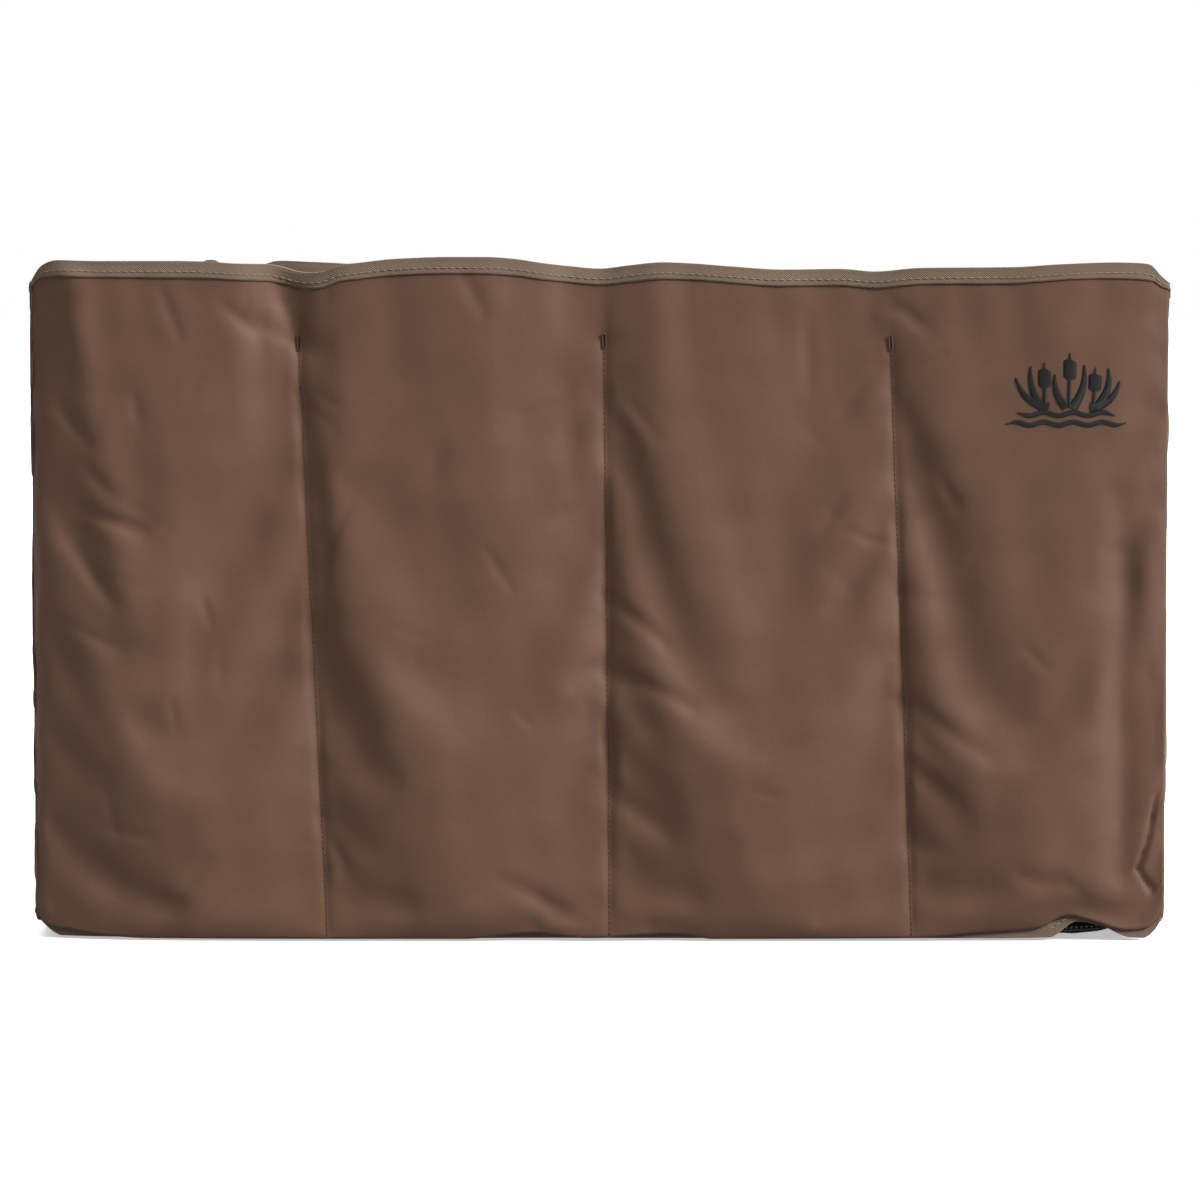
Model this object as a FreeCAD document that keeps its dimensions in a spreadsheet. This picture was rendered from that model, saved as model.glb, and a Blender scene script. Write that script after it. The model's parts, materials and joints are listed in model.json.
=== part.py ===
"""Slotted decoy bag: an open-topped cloth box that sewn-in dividers split into twelve slots.

+X runs to the right along the long side, +Y to the back and +Z up. The origin is on the floor,
under the middle of the bag. All sizes are in millimetres.
"""

import FreeCAD, Part  # noqa: E401  the order matters
import os
import re

import Sketcher
from FreeCAD import Placement, Rotation, Vector

doc = FreeCAD.newDocument("SlottedDecoyBag")

# ---------------------------------------------------------------- driving dimensions

DRIVING = {
    "bag_length": 711.0,        # over the end panels' bindings: 28 in
    "bag_depth": 533.0,         # over the front and back bindings: 21 in
    "bag_height": 419.0,        # floor to rim: 16.5 in
    "cloth": 1.2,               # a wall panel with its coating and turned seams
    "divider_cloth": 1.0,
    "mesh_cloth": 1.0,
    "tape": 0.8,                # one layer of binding tape
    "tape_reach": 10.0,         # how far a folded binding reaches from the edge that it covers
    "seam_allowance": 11.0,     # the bottom seam, which points down
    "corner_tape": 9.0,         # each side of the tape that covers a corner seam
    "long_drop": 38.0,          # rim to the top of a lengthwise divider
    "cross_drop": 46.0,         # rim to the top of a cross divider
    "divider_gap": 2.0,         # bottom mesh to the lower edge of a divider
    "flange": 15.0,             # turned edge by which a divider is sewn on
    "tack_width": 2.4,
    "tack_length": 12.0,
    "tack_rise": 0.6,
    "web_width": 38.0,          # carrying webbing
    "web": 2.0,
    "web_offset": 60.0,         # middle of the bag to the middle of each run of webbing
    "fold_height": 255.0,       # floor to the fold that a handle swings about
    "strap": 4.0,               # handle webbing, folded in two
    "strap_gap": 0.6,           # webbing on the end panel to the handle that hangs over it
    "grip_drop": 80.0,          # fold to the middle of the grip
    "strap_width": 20.0,        # folded handle webbing at the grip
    "grip_length": 80.0,
    "strap_inner_round": 6.0,
    "strap_outer_round": 22.0,
    "wrap_height": 26.0,
    "wrap_thickness": 12.0,
    "wrap_round": 5.0,
    "wrap_gap": 0.8,            # end panel to the wrap that hangs beside it
    "tab_web": 2.0,             # one layer of the webbing that holds a ring
    "tab_width": 32.0,
    "tab_drop": 12.0,           # rim to the top of a ring tab
    "tab_taper": 14.0,          # height over which a ring tab closes above its ring
    "ring_drop": 36.0,          # rim to the middle of a ring's bar
    "ring_wire": 2.25,          # radius of the ring's wire
    "ring_slack": 0.3,          # wire to the webbing around it
    "ring_half_width": 20.0,    # middle of the bar to the middle of an arm
    "ring_corner": 4.0,
    "ring_arm": 6.0,
    "mark_thread": 0.5,         # how far the embroidery stands out
    "mark_across": 289.0,       # middle of the bag to the middle of the embroidery
    "mark_drop": 75.0,          # rim to the middle of the embroidery
    "mark_width": 78.0,
    "mark_height": 44.0,
    "mark_stroke": 2.6,
}

sheet = doc.addObject("Spreadsheet::Sheet", "Dims")
for line_number, (alias, size) in enumerate(DRIVING.items(), start=1):
    sheet.set(f"A{line_number}", alias)
    sheet.set(f"B{line_number}", str(size))
    sheet.setAlias(f"B{line_number}", alias)
doc.recompute()

# Expressions that several sub-parts share. The words in them are the aliases above.
FACE_X = "(bag_length / 2 - tape)"
FACE_Y = "(bag_depth / 2 - tape)"
INSIDE_X = f"({FACE_X} - cloth)"
INSIDE_Y = f"({FACE_Y} - cloth)"
CHANNEL_X = f"({INSIDE_X} - mesh_cloth - tape)"   # inner face of the bottom binding
CHANNEL_Y = f"({INSIDE_Y} - mesh_cloth - tape)"
DIVIDER_FLOOR = "(seam_allowance + mesh_cloth + divider_gap)"
LONG_TOP = "(bag_height - long_drop)"
CROSS_TOP = "(bag_height - cross_drop)"
STRAP_X = f"({FACE_X} + web + strap_gap)"         # inner face of a handle's strap
FOLD_X = f"({STRAP_X} + strap / 2)"
GRIP_Z = "(fold_height - grip_drop)"
RING_X = f"({FACE_X} + tab_web + ring_slack + ring_wire)"
RING_Z = "(bag_height - ring_drop)"

SIDES = {"left": -1, "right": 1}
ENDS = {"front": -1, "back": 1}
COLUMNS = {"left": "-bag_length / 4", "centre": "0 * bag_length", "right": "bag_length / 4"}
LONG_ROWS = {"front": "-bag_depth / 6", "back": "bag_depth / 6"}

parts = []


# ---------------------------------------------------------------- building blocks


def bound(text):
    """The expression with each alias written as a reference to the sheet."""
    return re.sub(r"[a-z_]{3,}", lambda word: "Dims." + word.group(), text)


def worth(text):
    """What an expression comes to with the sheet as it is."""
    return float(sheet.evalExpression(bound(text)))


def keep(made, label):
    """Gives a sub-part its name and lists it for writing."""
    made.Label = label
    parts.append(made)
    return made


def outward(side, near, far):
    """The span from near to far on one side of the bag, lowest end first."""
    return (near, far) if side > 0 else (f"-({far})", f"-({near})")


def around(middle, width):
    return (f"{middle} - ({width}) / 2", f"{middle} + ({width}) / 2")


def box(name, x_span, y_span, z_span):
    """A box between bound limits."""
    made = doc.addObject("Part::Box", name)
    for size, axis, (low, high) in zip(("Length", "Width", "Height"), "xyz", (x_span, y_span, z_span)):
        made.setExpression(size, bound(f"({high}) - ({low})"))
        made.setExpression(f"Placement.Base.{axis}", bound(low))
    return made


def group(label, members):
    """Separate solids that share one node."""
    made = doc.addObject("Part::Compound", label)
    made.Links = members
    return keep(made, label)


def cut(name, base, tool):
    made = doc.addObject("Part::Cut", name)
    made.Base = base
    made.Tool = tool
    return made


def add_outline(body, role, corners, offset="0 * tape"):
    """A closed outline on one of the body's own planes, each corner held by two bound distances."""
    sketch = body.newObject("Sketcher::SketchObject", body.Name + "Outline")
    sketch.AttachmentSupport = (next(o for o in body.Origin.OriginFeatures if o.Role == role), "")
    sketch.MapMode = "FlatFace"
    sketch.setExpression("AttachmentOffset.Base.z", bound(offset))
    places = [Vector(worth(across), worth(up), 0) for across, up in corners]
    for place, following in zip(places, places[1:] + places[:1]):
        sketch.addGeometry(Part.LineSegment(place, following), False)
    for line, (corner, place) in enumerate(zip(corners, places)):
        sketch.addConstraint(Sketcher.Constraint("Coincident", line, 2, (line + 1) % len(corners), 1))
        for direction, text, size in zip(("DistanceX", "DistanceY"), corner, place):
            number = sketch.addConstraint(Sketcher.Constraint(direction, -1, 1, line, 1, size))
            sketch.setExpression(f"Constraints[{number}]", bound(text))
    return sketch


def add_pad(body, sketch, length, midplane=False):
    pad = body.newObject("PartDesign::Pad", body.Name + "Pad")
    pad.Profile = sketch
    pad.setExpression("Length", bound(length))
    pad.Midplane = midplane
    doc.recompute()
    return pad


def add_fillet(body, base, axis, radius, chosen=lambda edge: True):
    """Rounds the straight edges along one axis that the test picks."""
    numbers = []
    for number, edge in enumerate(base.Shape.Edges, start=1):
        direction = (edge.Vertexes[-1].Point - edge.Vertexes[0].Point).normalize()
        if abs(direction.dot(axis)) > 0.99 and chosen(edge):
            numbers.append(f"Edge{number}")
    fillet = body.newObject("PartDesign::Fillet", body.Name + "Fillet")
    fillet.Base = (base, numbers)
    fillet.setExpression("Radius", bound(radius))
    doc.recompute()
    return fillet


def new_body(name):
    return doc.addObject("PartDesign::Body", name)


# ---------------------------------------------------------------- cloth box


def make_panels():
    """Four wall panels. The end panels stand between the front and back ones."""
    height = ("tape", "bag_height - tape")
    for name, side in ENDS.items():
        panel = box("Panel", (f"-{FACE_X}", FACE_X), outward(side, INSIDE_Y, FACE_Y), height)
        keep(panel, f"{name}_panel")
    for name, side in SIDES.items():
        panel = box("Panel", outward(side, INSIDE_X, FACE_X), (f"-{INSIDE_Y}", INSIDE_Y), height)
        keep(panel, f"{name}_end_panel")


def make_bottom_mesh():
    """The mesh bottom, with its rim turned down inside the walls and held by the bottom binding."""
    whole = box(
        "MeshWhole",
        (f"-{INSIDE_X}", INSIDE_X),
        (f"-{INSIDE_Y}", INSIDE_Y),
        ("tape", "seam_allowance + mesh_cloth"),
    )
    hollow = box(
        "MeshHollow",
        (f"-({INSIDE_X} - mesh_cloth)", f"{INSIDE_X} - mesh_cloth"),
        (f"-({INSIDE_Y} - mesh_cloth)", f"{INSIDE_Y} - mesh_cloth"),
        ("0 * tape", "seam_allowance"),
    )
    keep(cut("Mesh", whole, hollow), "bottom_mesh")


def fuse(name, members):
    made = doc.addObject("Part::MultiFuse", name)
    made.Shapes = members
    return made


def make_bindings():
    """Tape over the rim and under the bottom seam, in four lengths each, with a channel for what it holds.

    The front and back lengths reach both corners, so the end panels' edges have channels in them too.
    """
    rims = {
        "top": (("bag_height - tape_reach", "bag_height"), ("0 * tape", "bag_height - tape"), "tape"),
        "bottom": (("0 * tape", "tape_reach"), ("tape", "bag_height"), "tape + mesh_cloth"),
    }
    for rim, (height, inside, lining) in rims.items():
        reach_x = f"({INSIDE_X} - ({lining}))"
        reach_y = f"({INSIDE_Y} - ({lining}))"
        hold_x = f"({reach_x} + tape)"
        hold_y = f"({reach_y} + tape)"
        for name, side in ENDS.items():
            full_length = ("-bag_length / 2", "bag_length / 2")
            bar = box("Bar", full_length, outward(side, reach_y, "bag_depth / 2"), height)
            channels = [box("Channel", (f"-{FACE_X}", FACE_X), outward(side, hold_y, FACE_Y), inside)]
            for end in SIDES.values():
                across = outward(side, reach_y, FACE_Y)
                channels.append(box("Channel", outward(end, hold_x, FACE_X), across, inside))
            keep(cut("Binding", bar, fuse("Channels", channels)), f"{rim}_binding_{name}")
        for name, side in SIDES.items():
            bar = box("Bar", outward(side, reach_x, "bag_length / 2"), (f"-{reach_y}", reach_y), height)
            channel = box("Channel", outward(side, hold_x, FACE_X), (f"-{FACE_Y}", FACE_Y), inside)
            keep(cut("Binding", bar, channel), f"{rim}_binding_{name}")


def make_corner_tapes():
    """An angle of tape over each upright seam inside."""
    for end_name, end in ENDS.items():
        for side_name, side in SIDES.items():
            steps = (("0", "0"), ("corner_tape", "0"), ("corner_tape", "tape"), ("tape", "tape"))
            steps += (("tape", "corner_tape"), ("0", "corner_tape"))
            corners = [
                (f"{side} * ({INSIDE_X} - {inward_x})", f"{end} * ({INSIDE_Y} - {inward_y})")
                for inward_x, inward_y in steps
            ]
            body = new_body("CornerTape")
            sketch = add_outline(body, "XY_Plane", corners, DIVIDER_FLOOR)
            add_pad(body, sketch, f"bag_height - tape_reach - {DIVIDER_FLOOR}")
            keep(body, f"corner_tape_{end_name}_{side_name}")


# ---------------------------------------------------------------- dividers


def make_divider(label, middle, start, end, top, lengthwise):
    """A sheet that stands on its edge, with each end turned the other way into a sewing flange."""
    near, far = f"{middle} - divider_cloth / 2", f"{middle} + divider_cloth / 2"
    corners = [
        (near, start),
        (f"{far} + flange", start),
        (f"{far} + flange", f"{start} + divider_cloth"),
        (far, f"{start} + divider_cloth"),
        (far, end),
        (f"{near} - flange", end),
        (f"{near} - flange", f"{end} - divider_cloth"),
        (near, f"{end} - divider_cloth"),
    ]
    if lengthwise:
        corners = [(along, across) for across, along in corners]
    body = new_body("Divider")
    add_pad(body, add_outline(body, "XY_Plane", corners, DIVIDER_FLOOR), f"{top} - {DIVIDER_FLOOR}")
    keep(body, label)


def make_dividers():
    """Two lengthwise dividers, and nine cross dividers between them and the walls."""
    for name, middle in LONG_ROWS.items():
        make_divider(f"lengthwise_divider_{name}", middle, f"-{INSIDE_X}", INSIDE_X, LONG_TOP, True)
    rows = {
        "front": (f"-{INSIDE_Y}", f"{LONG_ROWS['front']} - divider_cloth / 2"),
        "middle": (f"{LONG_ROWS['front']} + divider_cloth / 2", f"{LONG_ROWS['back']} - divider_cloth / 2"),
        "back": (f"{LONG_ROWS['back']} + divider_cloth / 2", INSIDE_Y),
    }
    for column, middle in COLUMNS.items():
        for row, (start, end) in rows.items():
            make_divider(f"cross_divider_{column}_{row}", middle, start, end, CROSS_TOP, False)


def make_bar_tacks():
    """The dense stitching at the top of each divider's seam, on the outside."""
    height = (f"{CROSS_TOP} - tack_length", CROSS_TOP)
    tacks = []
    for side in ENDS.values():
        for middle in COLUMNS.values():
            y_span = outward(side, FACE_Y, f"{FACE_Y} + tack_rise")
            tacks.append(box("Tack", around(middle, "tack_width"), y_span, height))
    for side in SIDES.values():
        for middle in LONG_ROWS.values():
            x_span = outward(side, FACE_X, f"{FACE_X} + tack_rise")
            tacks.append(box("Tack", x_span, around(middle, "tack_width"), height))
    group("divider_bar_tacks", tacks)


def make_embroidered_mark():
    """A plain motif on the front panel: three reeds over two lines of water."""
    y_span = outward(-1, FACE_Y, f"{FACE_Y} + mark_thread")
    base = "(bag_height - mark_drop - mark_height / 2)"
    strokes = []
    for share in (-0.22, 0.0, 0.22):
        middle = f"(mark_across + mark_width * {share})"
        top = f"{base} + mark_height * {1.0 - abs(share)}"
        strokes.append(
            box("Reed", around(middle, "mark_stroke"), y_span, (f"{base} + mark_stroke * 4", top))
        )
    for share, rise in ((1.0, 2), (0.6, 0)):
        strokes.append(
            box(
                "Water",
                around("mark_across", f"mark_width * {share}"),
                y_span,
                (f"{base} + mark_stroke * {rise}", f"{base} + mark_stroke * {rise + 1}"),
            )
        )
    group("embroidered_mark", strokes)


# ---------------------------------------------------------------- webbing, handles and rings


def make_webbing():
    """Two runs of webbing under the mesh, which go on up both end panels to the handles."""
    for end_name, end in ENDS.items():
        y_span = around(f"{end} * web_offset", "web_width")
        under = box(
            "Webbing", (f"-{CHANNEL_X}", CHANNEL_X), y_span, ("seam_allowance - web", "seam_allowance")
        )
        keep(under, f"bottom_webbing_{end_name}")
        for side_name, side in SIDES.items():
            x_span = outward(side, FACE_X, f"{FACE_X} + web")
            riser = box("Riser", x_span, y_span, ("tape_reach", "fold_height"))
            keep(riser, f"{side_name}_riser_{end_name}")


def make_handle_strap(name, side):
    """The free loop of a handle, which hangs flat: wide legs that close in on a narrow grip."""
    top = "(fold_height - strap_gap / 2)"
    wide = "(web_offset + web_width / 2)"
    waist = "(grip_length / 2 + strap_inner_round)"
    low, high = f"({GRIP_Z} - strap_width / 2)", f"({GRIP_Z} + strap_width / 2)"
    half = [
        (waist, high),
        ("(web_offset - web_width / 2)", top),
        (wide, top),
        (f"({waist} + strap_width)", low),
    ]
    corners = half + [(f"-{across}", up) for across, up in reversed(half)]
    body = new_body("HandleStrap")
    inner_face = STRAP_X if side > 0 else f"-({STRAP_X} + strap)"
    pad = add_pad(body, add_outline(body, "YZ_Plane", corners, inner_face), "strap")

    def is_at(height):
        return lambda edge: abs(edge.CenterOfMass.z - worth(height)) < 0.01

    inner = add_fillet(body, pad, Vector(1, 0, 0), "strap_inner_round", is_at(high))
    add_fillet(body, inner, Vector(1, 0, 0), "strap_outer_round", is_at(low))
    keep(body, f"{name}_handle_strap")


def make_handle_wrap(name, side):
    """The padded wrap around a grip, with a slot for the strap."""
    body = new_body("HandleWrap")
    x_span = outward(side, f"({FACE_X} + wrap_gap)", f"({FACE_X} + wrap_gap + wrap_thickness)")
    low, high = around(GRIP_Z, "wrap_height")
    corners = [(x_span[0], low), (x_span[1], low), (x_span[1], high), (x_span[0], high)]
    pad = add_pad(body, add_outline(body, "XZ_Plane", corners), "grip_length", midplane=True)
    solid = add_fillet(body, pad, Vector(0, 1, 0), "wrap_round")
    full_volume = solid.Shape.Volume
    x_span = outward(side, STRAP_X, f"({STRAP_X} + strap)")
    low, high = around(GRIP_Z, "strap_width")
    corners = [(x_span[0], low), (x_span[1], low), (x_span[1], high), (x_span[0], high)]
    pocket = body.newObject("PartDesign::Pocket", body.Name + "Slot")
    pocket.Profile = add_outline(body, "XZ_Plane", corners)
    pocket.Midplane = True
    pocket.setExpression("Length", bound("grip_length * 2"))
    doc.recompute()
    removed = full_volume - body.Shape.Volume
    expected = worth("strap * strap_width * grip_length")
    if abs(removed - expected) > 0.01 * expected:
        raise RuntimeError(f"the slot of {name}_handle_wrap took {removed:.0f}, not {expected:.0f}")
    keep(body, f"{name}_handle_wrap")


def make_ring_tab(name, side):
    """Webbing folded round a ring's bar and sewn to the end panel under the rim."""
    sleeve = "(tab_web + ring_slack + ring_wire)"
    shut = f"{FACE_X} + tab_web * 2"
    corners = [
        (f"{side} * {FACE_X}", RING_Z),
        (f"{side} * ({FACE_X} + {sleeve} * 2)", RING_Z),
        (f"{side} * ({shut})", f"{RING_Z} + tab_taper"),
        (f"{side} * ({shut})", "bag_height - tab_drop"),
        (f"{side} * {FACE_X}", "bag_height - tab_drop"),
    ]
    body = new_body("TabWeb")
    add_pad(body, add_outline(body, "XZ_Plane", corners), "tab_width", midplane=True)
    round_end = cylinder_along_y("TabRound", f"{side} * {RING_X}", RING_Z, sleeve, "tab_width")
    fused = doc.addObject("Part::Fuse", "TabFuse")
    fused.Base = body
    fused.Tool = round_end
    slack_wire = "ring_wire + ring_slack"
    bore = cylinder_along_y("TabBore", f"{side} * {RING_X}", RING_Z, slack_wire, "tab_width * 2")
    keep(cut("Tab", fused, bore), f"{name}_ring_tab")


def cylinder_along_y(label, x_text, z_text, radius, length):
    made = doc.addObject("Part::Cylinder", label)
    made.Placement = Placement(Vector(0, 0, 0), Rotation(Vector(1, 0, 0), 90))
    made.setExpression("Radius", bound(radius))
    made.setExpression("Height", bound(length))
    made.setExpression("Placement.Base.x", bound(x_text))
    made.setExpression("Placement.Base.y", bound(f"({length}) / 2"))
    made.setExpression("Placement.Base.z", bound(z_text))
    return made


def ring_bend(x_text, y_text, z_text, radius, turn, start, towards):
    """Part of a torus in an upright plane, bent from one direction towards another."""
    made = doc.addObject("Part::Torus", "RingBend")
    axis = start.cross(towards)
    made.Placement = Placement(Vector(0, 0, 0), Rotation(start, towards, axis, "ZXY"))
    made.Angle3 = turn
    made.setExpression("Radius1", bound(radius))
    made.setExpression("Radius2", bound("ring_wire"))
    for direction, text in zip("xyz", (x_text, y_text, z_text)):
        made.setExpression(f"Placement.Base.{direction}", bound(text))
    return made


def make_ring(name, side):
    """A wire ring in the shape of a D: a straight bar, two short arms and a round bottom."""
    x_text = f"{side} * {RING_X}"
    out = Vector(0, 1, 0)
    up = Vector(0, 0, 1)
    pieces = [
        cylinder_along_y("RingBar", x_text, RING_Z, "ring_wire", "(ring_half_width - ring_corner) * 2"),
        ring_bend(
            x_text, "0 * tape", f"{RING_Z} - ring_corner - ring_arm", "ring_half_width", 180, out, -up
        ),
    ]
    for hand in (-1, 1):
        start, towards = (up, out) if hand > 0 else (-out, up)
        corner_y = f"{hand} * (ring_half_width - ring_corner)"
        pieces.append(
            ring_bend(x_text, corner_y, f"{RING_Z} - ring_corner", "ring_corner", 90, start, towards)
        )
        arm = doc.addObject("Part::Cylinder", "RingArm")
        arm.setExpression("Radius", bound("ring_wire"))
        arm.setExpression("Height", bound("ring_arm"))
        arm.setExpression("Placement.Base.x", bound(x_text))
        arm.setExpression("Placement.Base.y", bound(f"{hand} * ring_half_width"))
        arm.setExpression("Placement.Base.z", bound(f"{RING_Z} - ring_corner - ring_arm"))
        pieces.append(arm)
    keep(fuse("Ring", pieces), f"{name}_ring")


# ---------------------------------------------------------------- the whole bag

make_panels()
make_bottom_mesh()
make_bindings()
make_corner_tapes()
make_dividers()
make_bar_tacks()
make_embroidered_mark()
make_webbing()
for side_name, side_sign in SIDES.items():
    make_handle_strap(side_name, side_sign)
    make_handle_wrap(side_name, side_sign)
    make_ring_tab(side_name, side_sign)
    make_ring(side_name, side_sign)
doc.recompute()

for made in doc.Objects:
    if "Invalid" in made.State or "Error" in made.State:
        raise RuntimeError(f"{made.Label} failed: {made.State}")
for part in parts:
    if part.Shape.isNull() or not part.Shape.isValid() or not part.Shape.Solids:
        raise RuntimeError(f"{part.Label} has no valid solid")

os.makedirs("parts", exist_ok=True)
for part in parts:
    part.Shape.exportStep(f"parts/{part.Label}.step")
    extent = part.Shape.BoundBox
    print(f"{part.Label}: {len(part.Shape.Solids)} solid, {part.Shape.Volume / 1000:.1f} cm3, "
          f"x {extent.XMin:.1f}..{extent.XMax:.1f}, y {extent.YMin:.1f}..{extent.YMax:.1f}, "
          f"z {extent.ZMin:.1f}..{extent.ZMax:.1f}")
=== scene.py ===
"""The looks of the slotted decoy bag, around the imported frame.

Lengths are in metres in the frame's own axes: +X right, +Y back, +Z up, with the floor at z = 0.
A wall of the bag is a grid of points: columns run round the bag, anticlockwise seen from above,
and rows run up from the bottom seam to the rim. Tape, thread and embroidery follow those grids.
"""

import json
import math

import bpy
import numpy as np
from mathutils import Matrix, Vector


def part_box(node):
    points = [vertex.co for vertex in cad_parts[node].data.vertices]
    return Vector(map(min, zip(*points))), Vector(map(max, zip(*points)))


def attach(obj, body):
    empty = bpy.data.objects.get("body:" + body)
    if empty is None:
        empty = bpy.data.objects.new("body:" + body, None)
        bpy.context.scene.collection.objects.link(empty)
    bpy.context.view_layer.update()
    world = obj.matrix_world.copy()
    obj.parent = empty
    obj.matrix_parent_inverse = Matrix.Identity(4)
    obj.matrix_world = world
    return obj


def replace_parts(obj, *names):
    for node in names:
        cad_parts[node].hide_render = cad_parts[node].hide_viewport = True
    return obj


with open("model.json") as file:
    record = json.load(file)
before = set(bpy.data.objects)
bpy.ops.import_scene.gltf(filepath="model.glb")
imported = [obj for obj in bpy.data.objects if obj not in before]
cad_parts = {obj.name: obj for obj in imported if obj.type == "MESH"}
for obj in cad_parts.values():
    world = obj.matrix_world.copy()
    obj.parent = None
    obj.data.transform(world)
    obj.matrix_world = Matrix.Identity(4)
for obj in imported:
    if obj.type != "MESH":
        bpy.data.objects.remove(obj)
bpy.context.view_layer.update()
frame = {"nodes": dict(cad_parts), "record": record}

MM = 0.001
UP = np.array([0.0, 0.0, 1.0])
random = np.random.default_rng(11)


# ---------------------------------------------------------------- sizes from the frame


def low(node):
    return np.array(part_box(node)[0])


def high(node):
    return np.array(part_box(node)[1])


def middle(node):
    return (low(node) + high(node)) / 2


RIM = high("top_binding_front")[2]
LENGTH = high("top_binding_front")[0] - low("top_binding_front")[0]
FACE_X = high("right_end_panel")[0]
FACE_Y = high("back_panel")[1]
TAPE_REACH = RIM - low("top_binding_front")[2]
SEAM_TAPE_TOP = high("bottom_binding_front")[2]
SEAM_RISE = 8 * MM
SEAM_TOP = high("cross_divider_left_front")[2] + SEAM_RISE
LONG_TOP = high("lengthwise_divider_front")[2]
DIVIDER_FLOOR = low("lengthwise_divider_front")[2]
ROW_Y = middle("lengthwise_divider_back")[1]
WEB_Y = middle("bottom_webbing_back")[1]
WEB_WIDTH = high("bottom_webbing_back")[1] - low("bottom_webbing_back")[1]
CLOTH = 0.9 * MM
TAPE = 0.7 * MM
WEB = 1.6 * MM

# Stitches: the pitch and the length of each kind, and the thread's radius.
TAPE_STITCH, TAPE_THREAD = (4.7 * MM, 3.4 * MM), 0.32 * MM
SEAM_STITCH, SEAM_THREAD = (3.4 * MM, 2.5 * MM), 0.30 * MM
HEM_STITCH, HEM_THREAD = (4.2 * MM, 3.0 * MM), 0.28 * MM
WEB_STITCH, WEB_THREAD = (3.6 * MM, 2.6 * MM), 0.34 * MM
BOX_STITCH = (3.2 * MM, 2.4 * MM)
WRAP_STITCH, WRAP_THREAD = (3.2 * MM, 2.3 * MM), 0.28 * MM
TAB_STITCH, TAB_THREAD = (1.6 * MM, 1.3 * MM), 0.36 * MM
TACK_THREAD = 0.42 * MM
MARK_THREAD = 0.30 * MM
SIDES = ("front", "back", "left", "right")


# ---------------------------------------------------------------- camera and light


def set_sockets(node, values):
    """Sets a node's inputs, given by name."""
    for name, value in values.items():
        node.inputs[name].default_value = value


def make_camera():
    """A long lens level with the rim, tilted down a little at the middle of the front panel."""
    distance = 3.0
    share_of_frame = 0.952
    target = Vector((0, -FACE_Y, (RIM + RIM_RISE) / 2 + 0.4 * MM))
    place = Vector((0, -FACE_Y - distance, RIM + 9 * MM))
    data = bpy.data.cameras.new("camera")
    data.sensor_width = 36
    data.lens = data.sensor_width * (target - place).length * share_of_frame / LENGTH
    data.clip_end = 50
    camera = bpy.data.objects.new("camera", data)
    camera.location = place
    camera.rotation_euler = (target - place).to_track_quat("-Z", "Y").to_euler()
    bpy.context.scene.collection.objects.link(camera)
    bpy.context.scene.camera = camera


def make_broad_light(name, towards, spread, strength):
    """A far soft box in a direction from the bag, as wide as the given angle in degrees."""
    data = bpy.data.lights.new(name, "SUN")
    data.angle = math.radians(spread)
    data.energy = strength
    light = bpy.data.objects.new(name, data)
    light.rotation_euler = Vector(towards).to_track_quat("Z", "Y").to_euler()
    bpy.context.scene.collection.objects.link(light)


def make_studio():
    """A white room with weak light of its own, a broad key from the right, and lights above and behind."""
    world = bpy.data.worlds.new("studio")
    bpy.context.scene.world = world
    world.use_nodes = True
    nodes = world.node_tree.nodes
    links = world.node_tree.links
    white = (1, 1, 1, 1)
    seen = nodes["Background"]
    set_sockets(seen, {"Color": white, "Strength": 1.0})
    fill = nodes.new("ShaderNodeBackground")
    set_sockets(fill, {"Color": white})
    direction = nodes.new("ShaderNodeTexCoord")
    split = nodes.new("ShaderNodeSeparateXYZ")
    links.new(direction.outputs["Generated"], split.inputs["Vector"])
    slope = nodes.new("ShaderNodeMath")
    slope.operation = "MULTIPLY_ADD"
    links.new(split.outputs["Z"], slope.inputs[0])
    slope.inputs[1].default_value = 0.28
    slope.inputs[2].default_value = 0.24
    links.new(slope.outputs["Value"], fill.inputs["Strength"])
    path = nodes.new("ShaderNodeLightPath")
    mix = nodes.new("ShaderNodeMixShader")
    links.new(path.outputs["Is Camera Ray"], mix.inputs["Fac"])
    links.new(fill.outputs["Background"], mix.inputs[1])
    links.new(seen.outputs["Background"], mix.inputs[2])
    links.new(mix.outputs["Shader"], nodes["World Output"].inputs["Surface"])
    bpy.context.scene.view_settings.view_transform = "Standard"
    make_broad_light("key", (0.78, -0.38, 0.50), 20, 4.0)
    make_broad_light("top", (0.1, -0.1, 1.0), 70, 0.8)
    make_broad_light("back", (-0.1, 0.9, 0.45), 40, 2.4)
    reach = 30
    corners = [(-reach, -reach, 0), (reach, -reach, 0), (reach, reach, 0), (-reach, reach, 0)]
    mesh = bpy.data.meshes.new("floor")
    mesh.from_pydata(corners, [], [(0, 1, 2, 3)])
    floor = bpy.data.objects.new("floor", mesh)
    bpy.context.scene.collection.objects.link(floor)
    material = bpy.data.materials.new("floor")
    material.use_nodes = True
    set_sockets(material.node_tree.nodes["Principled BSDF"], {
        "Base Color": (0.93, 0.93, 0.93, 1),
        "Roughness": 0.9,
        "Emission Color": white,
        "Emission Strength": 0.45,
    })
    mesh.materials.append(material)
    floor.visible_diffuse = False


# ---------------------------------------------------------------- materials


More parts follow.
